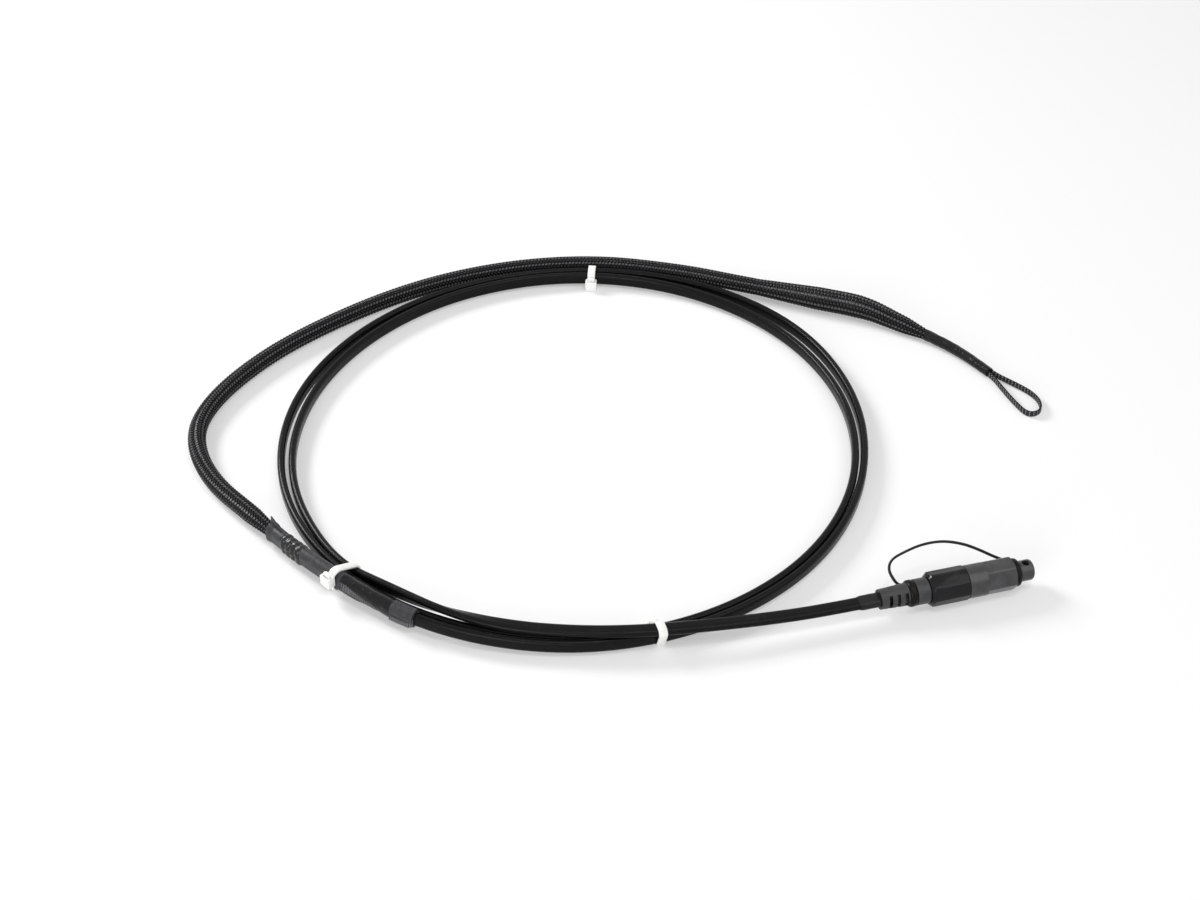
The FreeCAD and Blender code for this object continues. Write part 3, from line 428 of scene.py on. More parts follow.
# Inner pieces by their finishes: colours of the moulded ones, (colour, roughness) of the metals
INNER_COLOURS = {
    "crimp_plastic": (0.2, 0.2, 0.21), "seal_rubber": (0.04, 0.04, 0.04), "housing_plastic": (0.1, 0.45, 0.2),
    "polished_ceramic": (0.9, 0.9, 0.88), "clear_cap": (0.8, 0.8, 0.78),
}
METALS = {
    "band_aluminium": ((0.7, 0.7, 0.72), 0.3), "nickel_brass": ((0.75, 0.7, 0.55), 0.25),
    "spring_wire": ((0.6, 0.6, 0.62), 0.3),
}
INNER_PIECES = {
    "crimp_plastic": ("crimp_half_upper", "crimp_half_lower"),
    "seal_rubber": ("shroud_seal_ring", "nut_seal_ring", "leg_transition"),
    "housing_plastic": ("inner_housing", "indoor_boot", "indoor_plug"),
    "polished_ceramic": ("ferrule", "indoor_ferrule"),
    "clear_cap": ("indoor_cap",),
    "band_aluminium": ("crimp_band",),
    "nickel_brass": ("ferrule_holder",),
    "spring_wire": ("ferrule_spring",),
}

# The stage: lamps are (name, place, size, power); the camera's shift is in pixels of a frame 1200 wide.
LAMPS = [
    ("key_lamp", (-1.3, 0.9, 1.0), 0.6, 29.0),
    ("fill_lamp", (1.2, -0.7, 1.6), 1.6, 11.0),
    ("front_lamp", (-0.7, -1.7, 0.6), 0.9, 13.0),
    ("top_lamp", (0.15, -0.42, 1.5), 0.3, 3.5),
]
FLOOR_SIZE = 12.0
FLOOR_DROP = 0.0002
FLOOR_GLOW = 0.35
WORLD_LIGHT = 0.3
WHITE = (1.0, 1.0, 1.0)
CAMERA_PLACE = (-0.0283, -0.9766, 0.8035)
CAMERA_TILT = math.radians(50)
CAMERA_LENS = 63.4
CAMERA_SENSOR = 36.0
FRAME_WIDTH = 1200
CAMERA_SHIFT = (28, 11)


def length_property(name, description, default):
    return FloatProperty(name=name, description=description, default=default, unit="LENGTH")


def colour_property(name, description, default):
    return FloatVectorProperty(
        name=name, description=description, default=default, size=3, min=0.0, max=1.0, subtype="COLOR")


class CableSizes(PropertyGroup):
    """Sizes of the visible pieces."""
    cable_width: length_property("Cable width", "Long side of the flat cable", 0.0081)
    cable_thickness: length_property("Cable thickness", "Short side of the flat cable", 0.0044)
    sock_radius: length_property("Sock radius", "Outside of the braided sock", 0.0056)
    swell_radius: length_property("Swelling radius", "Outside of the sock over the indoor plug", 0.0077)
    strand_count: IntProperty(
        name="Strands", description="Braid strands that run each way round the sock", default=8, min=4)
    braid_pitch: length_property("Braid pitch", "Length in which a strand goes once round the sock", 0.018)
    loop_width: length_property("Loop width", "Width of the pull loop's flat braid", 0.0040)
    loop_thickness: length_property("Loop thickness", "Thickness of the pull loop's braid", 0.0013)
    tether_width: length_property("Tether width", "Width of the cap's strap", 0.0022)
    tether_thickness: length_property("Tether thickness", "Thickness of the cap's strap", 0.0014)
    tie_width: length_property("Tie width", "Width of a cable tie's strap", 0.0048)
    tie_thickness: length_property("Tie thickness", "Thickness of a cable tie's strap", 0.0013)
    eased_edge: length_property("Eased edge", "Width of the eased edges of moulded pieces", 0.0004)


class CableColours(PropertyGroup):
    """Colours of the finishes."""
    jacket: colour_property("Jacket", "Cable jacket", (0.005, 0.005, 0.0055))
    braid: colour_property("Braid", "Sock strands", (0.014, 0.014, 0.015))
    # The lining is a dark sheet inside the braid, painted shade for the inside of the sock
    shade_lining: colour_property(
        "Lining", "Dark inside of the sock, seen between its strands", (0.002, 0.002, 0.002))
    shiny_tape: colour_property("Shiny tape", "Creased tape and shrink sleeves", (0.006, 0.006, 0.0065))
    matte_tape: colour_property("Matte tape", "Smooth tape", (0.034, 0.034, 0.037))
    boot: colour_property("Boot", "Strain relief boot and the neck behind the nut", (0.034, 0.034, 0.036))
    tether: colour_property("Tether", "Strap that keeps the cap, and its rings", (0.006, 0.005, 0.0045))
    nut: colour_property("Nut", "Coupling nut", (0.005, 0.005, 0.006))
    cap: colour_property("Cap", "Dust cap", (0.034, 0.034, 0.036))
    nylon: colour_property("Nylon", "Cable ties", (0.91, 0.91, 0.89))
    floor: colour_property("Floor", "Floor of the stage", (0.96, 0.96, 0.96))


class Wire:
    """One output socket of a finish; arithmetic on it adds Math nodes."""

    def __init__(self, finish, socket):
        self.finish = finish
        self.socket = socket

    def __add__(self, other):
        return self.finish.math("ADD", self, other)

    def __radd__(self, other):
        return self.finish.math("ADD", other, self)

    def __sub__(self, other):
        return self.finish.math("SUBTRACT", self, other)

    def __rsub__(self, other):
        return self.finish.math("SUBTRACT", other, self)

    def __mul__(self, other):
        return self.finish.math("MULTIPLY", self, other)

    def __rmul__(self, other):
        return self.finish.math("MULTIPLY", other, self)


class Finish:
    """A material or a world whose nodes are added as expressions."""

    def __init__(self, name, kind="materials", shader="Principled BSDF"):
        self.holder = getattr(bpy.data, kind).new(name)
        self.holder.use_nodes = True
        self.tree = self.holder.node_tree
        self.shader = self.tree.nodes[shader]

    def node(self, kind, settings, inputs, output=0):
        """Adds a node, its settings first, then the values or wires of its sockets."""
        made = self.tree.nodes.new("ShaderNode" + kind)
        for key, value in settings.items():
            setattr(made, key, value)
        for key, value in inputs.items():
            self.feed(made.inputs[key], value)
        return Wire(self, made.outputs[output])

    def feed(self, socket, value):
        if isinstance(value, Wire):
            self.tree.links.new(value.socket, socket)
        elif socket.type == "RGBA":
            socket.default_value = (*value, 1)
        else:
            socket.default_value = value

    def surface(self, **sockets):
        """Sets the shader's sockets, named with underscores."""
        for key, value in sockets.items():
            self.feed(self.shader.inputs[key.replace("_", " ").title().replace("Ior", "IOR")], value)
        return self.holder

    def math(self, operation, first, second):
        return self.node("Math", {"operation": operation}, {0: first, 1: second})

    def place(self, output="Object"):
        return self.node("TexCoord", {}, {}, output)

    def surface_place(self, axis):
        """One coordinate of the UV map."""
        return self.node("SeparateXYZ", {}, {"Vector": self.place("UV")}, axis)

    def noise(self, place, scale, detail):
        return self.node("TexNoise", {}, {"Vector": place, "Scale": scale, "Detail": detail}, "Fac")

    def ramp(self, value, low, high, start=0.0, end=1.0):
        """Value brought from one range to another, kept within it."""
        return self.node("MapRange", {}, {
            "Value": value, "From Min": low, "From Max": high, "To Min": start, "To Max": end})

    def mix(self, share, first, second):
        return self.node("Mix", {"data_type": "RGBA"}, {0: share, 6: first, 7: second}, 2)

    def bump(self, height, distance):
        return self.node("Bump", {}, {"Height": height, "Distance": distance, "Strength": 1.0})

    def plug_radius(self, place):
        """Distance from the plug's axis."""
        away = self.node("VectorMath", {"operation": "SUBTRACT"}, {0: place, 1: PLUG_START})
        away = self.node("VectorMath", {"operation": "CROSS_PRODUCT"}, {0: away, 1: PLUG_HEADING})
        return self.node("VectorMath", {"operation": "LENGTH"}, {0: away}, "Value")

    def seen(self):
        """1 for what the camera sees, straight, mirrored or through something, and 0 for other light."""
        rays = self.node("LightPath", {}, {}, "Is Camera Ray")
        for kind in ("Is Glossy Ray", "Is Transmission Ray"):
            rays = self.math("MAXIMUM", rays, self.node("LightPath", {}, {}, kind))
        return rays


def lighter(colour, factor):
    return tuple(min(1.0, channel * factor) for channel in colour)


def worn_finish(name, colour, recess=None):
    """Moulded surface: fine grain, patches of wear, and painted shade nearer the plug's axis than a recess."""
    roughness, spread, grain_size, grain_depth, rub_tone, specular = MOULDED[name]
    finish = Finish(name)
    place = finish.place()
    rub_and_glint = finish.ramp(finish.noise(place, scale=140.0, detail=4.0), low=0.42, high=0.72)
    grain = finish.noise(place, scale=1.0 / grain_size, detail=3.0)
    tone = finish.mix(rub_and_glint, colour, lighter(colour, rub_tone))
    # Painted shade: darker nearer the plug's axis than the recess, deep in the boot's slots
    if recess:
        above = finish.ramp(finish.plug_radius(place), low=recess - RECESS_SHADE_FADE, high=recess)
        tone = finish.mix(above, lighter(colour, RECESS_SHADE_TONE), tone)
    return finish.surface(
        base_color=tone,
        roughness=roughness + spread * (rub_and_glint - 0.5) + 0.06 * (grain - 0.5),
        normal=finish.bump(grain, grain_depth),
        specular_ior_level=specular,
    )


def jacket_finish(colour):
    """Extruded jacket: drawn lines along it, satin, with scuffs."""
    finish = Finish("satin_jacket")
    drawn = finish.node("Mapping", {}, {"Vector": finish.place("UV"), "Scale": (5200.0, 14.0, 1.0)})
    lines = finish.noise(drawn, scale=1.0, detail=2.0)
    place = finish.place()
    scuff = finish.ramp(finish.noise(place, scale=260.0, detail=5.0), low=0.55, high=0.8)
    grain = finish.noise(place, scale=4200.0, detail=2.0)
    return finish.surface(
        base_color=finish.mix(scuff, colour, lighter(colour, 2.0)),
        roughness=0.20 + 0.10 * scuff + 0.10 * (lines - 0.5),
        normal=finish.bump(lines + 0.6 * grain, distance=0.00003),
        specular_ior_level=0.1,
    )


def strand_finish(name, colour, filaments):
    """Flat bundle of filaments with a painted highlight, a glint, where it passes over the others; UV is (across,
    over).
    """
    finish = Finish(name)
    filament = finish.math("PINGPONG", finish.surface_place("X") * filaments, 1.0)
    tone = finish.noise(finish.place(), scale=900.0, detail=2.0)
    # Painted highlight: lighter on top of the crossings, in patches
    over = finish.ramp(finish.surface_place("Y"), low=0.6, high=1.0)
    painted_glint = over * finish.ramp(tone, low=0.25, high=0.65, start=0.4)
    return finish.surface(
        base_color=finish.mix(painted_glint, lighter(colour, 0.12), lighter(colour, BRAID_GLINT_TONE)),
        roughness=0.24 + 0.16 * (tone - 0.5),
        normal=finish.bump(filament, distance=0.00006),
        specular_ior_level=0.09,
    )


def tape_finish(name, colour, below=None):
    """Stretched tape or shrink sleeve with fine creases; where it is bare, the braid shows below, as stripes painted
    with its glints in the colour given.
    """
    roughness, crease_depth, specular = TAPED[name]
    finish = Finish(name)
    place = finish.place()
    crease = finish.noise(place, scale=420.0, detail=4.0)
    grain = finish.noise(place, scale=2600.0, detail=2.0)
    tone = finish.mix(finish.ramp(crease, low=0.4, high=0.7), colour, lighter(colour, 1.7))
    height = crease + 0.25 * grain
    if below:
        bare = finish.node("Attribute", {"attribute_name": "bare"}, {}, "Fac")
        # Painted highlight: stripes of the braid's glints where it is bare
        strand = finish.math("PINGPONG", finish.surface_place("Y") * 1600.0 + crease, 1.0)
        tone = finish.mix(bare, tone, finish.mix(finish.ramp(strand, low=0.3, high=0.8), colour, below))
        height = height + bare * strand
    return finish.surface(
        base_color=tone,
        roughness=roughness + 0.14 * (crease - 0.5) + 0.06 * (grain - 0.5),
        normal=finish.bump(height, crease_depth),
        specular_ior_level=specular,
    )


def nylon_finish(colour):
    """Natural nylon: milky, faintly uneven."""
    finish = Finish("milky_nylon")
    cloud = finish.noise(finish.place(), scale=700.0, detail=3.0)
    return finish.surface(
        base_color=finish.mix(cloud, colour, lighter(colour, 0.96)),
        roughness=0.34 + 0.12 * (cloud - 0.5),
        normal=finish.bump(cloud, distance=0.00004),
        subsurface_weight=0.25,
        subsurface_radius=(0.001, 0.001, 0.0009),
        subsurface_scale=1.0,
    )


def metal_finish(name):
    """Bright metal with fine drawn marks."""
    colour, roughness = METALS[name]
    finish = Finish(name)
    marks = finish.noise(finish.place(), scale=1800.0, detail=3.0)
    return finish.surface(
        base_color=finish.mix(marks, colour, lighter(colour, 0.8)),
        metallic=1.0,
        roughness=roughness + 0.15 * (marks - 0.5),
        normal=finish.bump(marks, distance=0.00001),
    )


def floor_finish(colour):
    """White as the camera sees it, with the shadow kept."""
    finish = Finish("pale_floor")
    finish.surface(base_color=colour, roughness=0.9, specular_ior_level=0.1)
    glow = finish.node("Emission", {}, {"Color": WHITE, "Strength": 1.0})
    lit = Wire(finish, finish.shader.outputs[0])
    seen = finish.node("MixShader", {}, {0: finish.seen() * FLOOR_GLOW, 1: lit, 2: glow})
    finish.feed(finish.tree.nodes["Material Output"].inputs["Surface"], seen)
    return finish.holder


def world_finish():
    """White to the camera, and weaker as a light."""
    finish = Finish("studio_world", "worlds", "Background")
    return finish.surface(
        color=WHITE, strength=finish.ramp(finish.seen(), low=0.0, high=1.0, start=WORLD_LIGHT))


class Path:
    """A sampled line, measured by distance along it."""

    def __init__(self, points):
        self.points = points
        self.along = [0.0]
        for before, after in zip(points, points[1:]):
            self.along.append(self.along[-1] + (after - before).length)
        self.length = self.along[-1]
        ends = [points[0]] + points + [points[-1]]
        self.headings = [(after - before).normalized() for before, after in zip(ends, ends[2:])]

    def at(self, distance):
        """Point and direction at a distance."""
        index = bisect.bisect_right(self.along, distance) - 1
        index = max(0, min(index, len(self.points) - 2))
        share = (distance - self.along[index]) / (self.along[index + 1] - self.along[index])
        point = self.points[index].lerp(self.points[index + 1], share)
        heading = self.headings[index].lerp(self.headings[index + 1], min(max(share, 0.0), 1.0))
        return point, heading.normalized()

    def nearest(self, place):
        """Distance along at the sample nearest a place."""
        index = min(range(len(self.points)), key=lambda i: (self.points[i] - place).length)
        return self.along[index]

    def stretch(self, start, end, step):
        count = max(2, round((end - start) / step))
        return [start + (end - start) * index / count for index in range(count + 1)]

    def whole(self, step):
        return self.stretch(0.0, self.length, step)

    def part(self, start, end, step):
        return Path([self.at(distance)[0] for distance in self.stretch(start, end, step)])


def spline_path(name, points, resolution):
    """The smooth line that a spline makes of its points."""
    curve = bpy.data.curves.new(name, "CURVE")
    curve.dimensions = "3D"
    curve.resolution_u = resolution
    spline = curve.splines.new("NURBS")
    spline.points.add(len(points) - 1)
    for held, point in zip(spline.points, points):
        held.co = (*point, 1.0)
    spline.order_u = 3
    spline.use_endpoint_u = True
    holder = bpy.data.objects.new(name, curve)
    bpy.context.scene.collection.objects.link(holder)
    mesh = holder.evaluated_get(bpy.context.evaluated_depsgraph_get()).to_mesh()
    line = [vertex.co.copy() for vertex in mesh.vertices]
    bpy.data.objects.remove(holder)
    bpy.data.curves.remove(curve)
    return Path(line)


def ramp_between(value, corners):
    """Value of a polyline of (along, height) corners."""
    for (before, low), (after, high) in zip(corners, corners[1:]):
        if value <= after:
            share = min(max((value - before) / (after - before), 0.0), 1.0)
            return low + share * (high - low)
    return corners[-1][1]


def eased(share):
    share = min(max(share, 0.0), 1.0)
    return share * share * (3 - 2 * share)


def creased(along, share, length, turns=TAPE_CREASE_TURNS):
    """Unevenness of a wound skin; its creases are about as long as the length given."""
    turn = 2 * math.pi * share
    return noise.noise(Vector((turns * math.cos(turn), turns * math.sin(turn), along / length)))


def beside_coil(angle, outside, height):
    turn = math.radians(angle)
    reach = COIL_RADIUS + outside
    return COIL_CENTRE + Vector((reach * math.cos(turn), reach * math.sin(turn), height))


def coil_angle(point):
    away = point - COIL_CENTRE
    return math.degrees(math.atan2(away.y, away.x)) % 360


def coil_points():
    """Corners of the turns: each run touches a circle that grows by one lane a turn."""
    step = 360 / POINTS_PER_TURN
    points = []
    for index in range(FIRST_CORNER, COIL_TURNS * POINTS_PER_TURN + 1):
        wound = index * step
        radius = COIL_RADIUS + LANE_PITCH * wound / 360
        radius += ramp_between((-90 - wound) % 360, OUT_OF_ROUND)
        for middle, half_width, bulge in LOOSE_SPOTS:
            share = min(abs(wound - middle) / half_width, 1)
            radius += bulge * (1 + math.cos(math.pi * share)) / 2
        corner = radius / math.cos(math.radians(step / 2))
        points.append(beside_coil(-90 - wound, corner - COIL_RADIUS, COIL_HEIGHT))
    return points


def plug_point(station):
    return PLUG_START + PLUG_HEADING * station


def plug_matrix():
    """From the plug's own frame, X along it from the cable side and Z up, to the row's."""
    side = UP.cross(PLUG_HEADING)
    turn = Matrix((PLUG_HEADING, side, UP)).transposed().to_4x4()
    return Matrix.Translation(PLUG_START) @ turn


class Ways:
    """The lines that the flexible pieces follow."""

    def __init__(self):
        tail = [plug_point(CABLE_END_AT), plug_point(-CABLE_STRAIGHT)]
        tail += [beside_coil(*point) for point in TAIL_ROUTE]
        lead = [beside_coil(*point) for point in LEAD_ROUTE]
        points = tail + coil_points() + lead
        self.cable = spline_path("cable_way", points, WAY_RESOLUTION)
        first = len(tail) - TWIST_CORNERS
        last = len(tail) - 1
        self.twist_start = self.cable.nearest(points[first])
        self.twist_start -= ARC_SHARE * (points[first] - points[first - 1]).length / 2
        self.twist_end = self.cable.nearest(points[last])
        self.twist_end += ARC_SHARE * (points[last + 1] - points[last]).length / 2
        level = Vector((lead[-1].x, lead[-1].y, 0))
        nose = [level + Vector(point) for point in NOSE_ROUTE]
        self.nose = spline_path("nose_way", nose, WAY_RESOLUTION)
        level = Vector((nose[-1].x, nose[-1].y, 0))
        self.loop = spline_path("loop_way", [level + Vector(point) for point in LOOP_ROUTE], WAY_RESOLUTION)
        distance = self.cable.length
        while coil_angle(self.cable.at(distance)[0]) < TIE_ANGLES["left_tie"]:
            distance -= SEARCH_STEP
        self.mouth = distance - TIE_ON_SLEEVE - DIAGONAL_LENGTH - PATCH_LENGTH
        self.bound_end = self.mouth + sum(tape[0] for tape in TAPES.values()) + TAPE_MARGIN
        end, heading = self.cable.at(self.cable.length)
        swell = end - heading * CABLE_IN_SWELL
        straight = swell + heading * SWELL_STRAIGHT
        elbow = swell + heading * SWELL_ELBOW
        corners = [swell, straight, elbow, elbow.lerp(nose[0], 0.5), nose[0]]
        last_part = spline_path("swell_way", corners, SWELL_RESOLUTION)
        held = self.cable.part(self.mouth, self.cable.length - CABLE_IN_SWELL, WAY_STEP)
        self.swell_at = self.cable.length - CABLE_IN_SWELL - self.mouth
        self.sock = Path(held.points[:-1] + last_part.points)


def flat_oval(long_half, short_half, share):
    """Place and outward direction at a share of the way round a flat oval that stands on edge."""
    straight = long_half - short_half
    arc = math.pi * short_half
    halves = 2 * (share % 1.0)
    sign = 1 if halves < 1 else -1
    left = (halves % 1.0) * (arc + 2 * straight)
    if left < straight:
        across, above, out = short_half, left, (1.0, 0.0)
    elif left < straight + arc:
        turn = (left - straight) / short_half
        out = (math.cos(turn), math.sin(turn))
        across, above = short_half * out[0], straight + short_half * out[1]
    else:
        across, above, out = -short_half, 2 * straight + arc - left, (-1.0, 0.0)
    return (sign * across, sign * above), (sign * out[0], sign * out[1])


def round_the(long_half, short_half):
    return 2 * math.pi * short_half + 4 * (long_half - short_half)


def cable_halves(sizes, wall=0.0):
    """Half the long side and half the short side of the cable, or of a skin on it."""
    return sizes.cable_width / 2 + wall, sizes.cable_thickness / 2 + wall


def across_path(path, distance):
    """Point, direction, and the level side and top directions of a path at a distance."""
    point, heading = path.at(distance)
    side = UP.cross(heading).normalized()
    return point, heading, side, heading.cross(side)


def rolled(place, roll):
    turn_cos = math.cos(roll)
    turn_sin = math.sin(roll)
    return place[0] * turn_cos + place[1] * turn_sin, place[1] * turn_cos - place[0] * turn_sin


def cable_roll(ways, station):
    """Turn of the flat cable about its own line: flat behind the plug, on edge in the coil."""
    turned = (station - ways.twist_start) / (ways.twist_end - ways.twist_start)
    return math.pi / 4 * (1 + math.cos(math.pi * min(max(turned, 0.0), 1.0)))


def only(piece):
    """Selects one piece and makes it active."""
    bpy.ops.object.select_all(action="DESELECT")
    piece.select_set(True)
    bpy.context.view_layer.objects.active = piece


def edit(piece, *steps):
    """Runs (operator, settings) steps in edit mode, each on the whole of a piece."""
    only(piece)
    bpy.ops.object.mode_set(mode="EDIT")
    for step, settings in steps:
        bpy.ops.mesh.select_all(action="SELECT")
        step(**settings)
    bpy.ops.object.mode_set(mode="OBJECT")


FACED_OUT = (bpy.ops.mesh.normals_make_consistent, {"inside": False})
MERGED = (bpy.ops.mesh.remove_doubles, {"threshold": MERGE_DISTANCE})


def added(name, add, **settings):
    """The object that an operator adds, under a name."""
    bpy.ops.object.select_all(action="DESELECT")
    add(**settings)
    piece = bpy.context.active_object
    piece.name = name
    return piece


def linked(name, mesh):
    piece = bpy.data.objects.new(name, mesh)
    bpy.context.scene.collection.objects.link(piece)
    return piece


def new_piece(name, vertices, faces, surface=None):
    """Mesh object at the origin; surface gives each vertex its place on the UV map."""
    mesh = bpy.data.meshes.new(name)
    mesh.from_pydata(vertices, [], faces)
    if surface:
        layer = mesh.uv_layers.new(name="UVMap")
        for corner in mesh.loops:
            layer.data[corner.index].uv = surface[corner.vertex_index]
    piece = linked(name, mesh)
    edit(piece, FACED_OUT)
    return piece


def smooth(piece, degrees):
    only(piece)
    bpy.ops.object.shade_smooth_by_angle(angle=math.radians(degrees))


def apply_modifiers(piece):
    only(piece)
    for name in [modifier.name for modifier in piece.modifiers]:
        bpy.ops.object.modifier_apply(modifier=name)


def joined(piece, *others):
    """Makes one object of several, under the first one's name."""
    only(piece)
    for other in others:
        other.select_set(True)
    bpy.ops.object.join()
    return piece


def block(name, size):
    """Block at the origin, the start of a piece or of a cut."""
    piece = added(name, bpy.ops.mesh.primitive_cube_add, size=1.0)
    edit(piece, (bpy.ops.transform.resize, {"value": size}))
    return piece


def vertex_ring(name, count):
    """Ring of vertices, which are then placed one by one."""
    return added(name, bpy.ops.mesh.primitive_circle_add, vertices=count, radius=0.01)


def ease_edges(piece, width, degrees):
    """Rounds the sharp edges of a moulded piece."""
    bevel = piece.modifiers.new("eased_edges", "BEVEL")
    bevel.width = width
    bevel.segments = 2
    bevel.limit_method = "ANGLE"
    bevel.angle_limit = math.radians(degrees)
    apply_modifiers(piece)
    smooth(piece, degrees)


def tube_sides(first, rings, count):
    """Side faces of a tube, from its first vertex, its rings and the vertices in a ring."""
    faces = []
    for low in range(first, first + (rings - 1) * count, count):
        for index in range(count):
            after = (index + 1) % count
            faces.append((low + index, low + after, low + count + after, low + count + index))
    return faces


def tube_ends(first, rings, count):
    """The two end faces of the same tube."""
    last = first + (rings - 1) * count
    return tuple(range(first, first + count)), tuple(range(last, last + count))[::-1]


def swept(name, path, stations, section, count, frame_at=across_path):
    """Closed skin along a path; section gives a place across it for a station and a share round."""
    vertices = []
    surface = []
    for station in stations:
        point, heading, side, top = frame_at(path, station)
        for index in range(count):
            across, above = section(station, index / count)
            vertices.append(point + side * across + top * above)
            surface.append((index / count, station))
    start, end = tube_ends(0, len(stations), count)
    return new_piece(name, vertices, [start, *tube_sides(0, len(stations), count), end], surface)


def braided(name, path, outline, strands, pitch, steps, cover, thickness, lift):
    """Strands both ways round an outline, over and under each other at every crossing."""
    rows = round(2 * strands * path.length / pitch)
    row = path.length / rows
    pitch = 2 * strands * row
    last = rows * steps
    stations = [row * index / steps for index in range(last + 1)]
    rings = [(station, across_path(path, station), outline(station)) for station in stations]
    vertices = []
    faces = []
    surface = []
    # The second UV coordinate carries the painted glint: 1 on top of a crossing, less for the strands that run back
    for way, rub_and_glint in ((1, 1.0), (-1, BACK_STRAND_GLINT)):
        for strand in range(strands):
            line = []
            for station, (point, heading, side, top), halves in rings:
                place, out = flat_oval(*halves, strand / strands + way * station / pitch)
                outward = side * out[0] + top * out[1]
                wave = way * math.cos(math.pi * station / row)
                centre = point + side * place[0] + top * place[1] + outward * (lift * wave)
                line.append((centre, outward, rub_and_glint * (1 + wave) / 2))
            faces += tube_sides(len(vertices), len(line), 4)
            faces += tube_ends(len(vertices), len(line), 4)
            for index, (centre, outward, over) in enumerate(line):
                ahead = line[min(index + 1, last)][0] - line[max(index - 1, 0)][0]
                station, (point, heading, side, top), halves = rings[index]
                slant = abs(ahead.normalized().dot(heading))
                half = outward.cross(ahead).normalized() * (cover * slant * round_the(*halves) / strands / 2)
                rise = outward * (thickness / 2)
                vertices += [centre - half, centre + rise, centre + half, centre - rise]
                surface += [(across, over) for across in (0.0, 0.5, 1.0, 0.5)]
    return new_piece(name, vertices, faces, surface)


def paint(piece, material):
    piece.data.materials.clear()
    piece.data.materials.append(material)


def dress(piece, material, slot, body, *nodes):
    """Paints a piece, and says its slot, the CAD nodes that it replaces and the body that it rides on."""
    paint(piece, material)
    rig.slot(piece, slot)
    if nodes:
        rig.replaces(piece, *nodes)
    if body:
        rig.ride(piece, body)


class DROPCABLE_OT_cable(Operator):
    """Flat drop cable, lying flat behind the plug and on edge in the coil"""
    bl_idname = "dropcable.cable"
    bl_label = "Drop cable"

    def execute(self, context):
        sizes = context.scene.cable_sizes
        halves = cable_halves(sizes)
        ways = Ways()

        def section(station, share):
            return rolled(flat_oval(*halves, share)[0], cable_roll(ways, station))

        stations = ways.cable.whole(CABLE_STEP)
        piece = swept("drop_cable_jacket", ways.cable, stations, section, CABLE_CORNERS)
        smooth(piece, degrees=50)
        finish = jacket_finish(context.scene.cable_colours.jacket)
        dress(piece, finish, "cable_jacket", "cable", "drop_cable")
        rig.cord(
            piece, exit=plug_point(SHRINK_LENGTH), length=ways.cable.length, diameter=sizes.cable_width,
            far_end="connector", stiffness="stiff", lay="coiled", path=ways.cable.points,
            with_pieces=("indoor_plug",),
        )
        return {"FINISHED"}


class DROPCABLE_OT_sock(Operator):
    """Braided pulling sock over the indoor end"""
    bl_idname = "dropcable.sock"
    bl_label = "Pulling sock"

    def execute(self, context):
        sizes = context.scene.cable_sizes
        colours = context.scene.cable_colours
        ways = Ways()
        bound = ways.bound_end - ways.mouth
        bound_halves = cable_halves(sizes, SOCK_WALL)
        fall = ways.swell_at + SWELL_RAMP + SWELL_LENGTH
        profile = [
            (0.0, sizes.sock_radius), (ways.swell_at, sizes.sock_radius),
            (ways.swell_at + SWELL_RAMP, sizes.swell_radius), (fall, sizes.swell_radius),
            (fall + SWELL_FALL, SWELL_END_RADIUS), (ways.sock.length, SOCK_END_RADIUS),
        ]

        def outline(station):
            flare = eased((station - bound) / SOCK_FLARE)
            round_half = ramp_between(station, profile)
            return [half + flare * (round_half - half) - STRAND_INSET for half in bound_halves]

        # The dark sheet inside the braid, painted shade for the inside of the sock
        def shade_lining(station, share):
            long_half, short_half = outline(station)
            return flat_oval(long_half - SHADE_LINING_INSET, short_half - SHADE_LINING_INSET, share)[0]

        piece = braided(
            "sock_braid", ways.sock, outline, sizes.strand_count, sizes.braid_pitch, steps=1,
            cover=STRAND_COVER, thickness=STRAND_THICKNESS, lift=STRAND_LIFT)
        smooth(piece, degrees=15)
        finish = strand_finish("black_filament", colours.braid, STRAND_FILAMENTS)
        dress(piece, finish, "sock_braid", "cable", "pulling_sock")
        # Dark sheet inside the braid, so that only shade shows between the strands
        inside = swept("sock_shade_lining", ways.sock, ways.sock.whole(SHADE_LINING_STEP), shade_lining, CABLE_CORNERS)
        smooth(inside, degrees=80)
        dress(inside, worn_finish("painted_shade_lining", colours.shade_lining), "sock_braid", "cable")
        return {"FINISHED"}


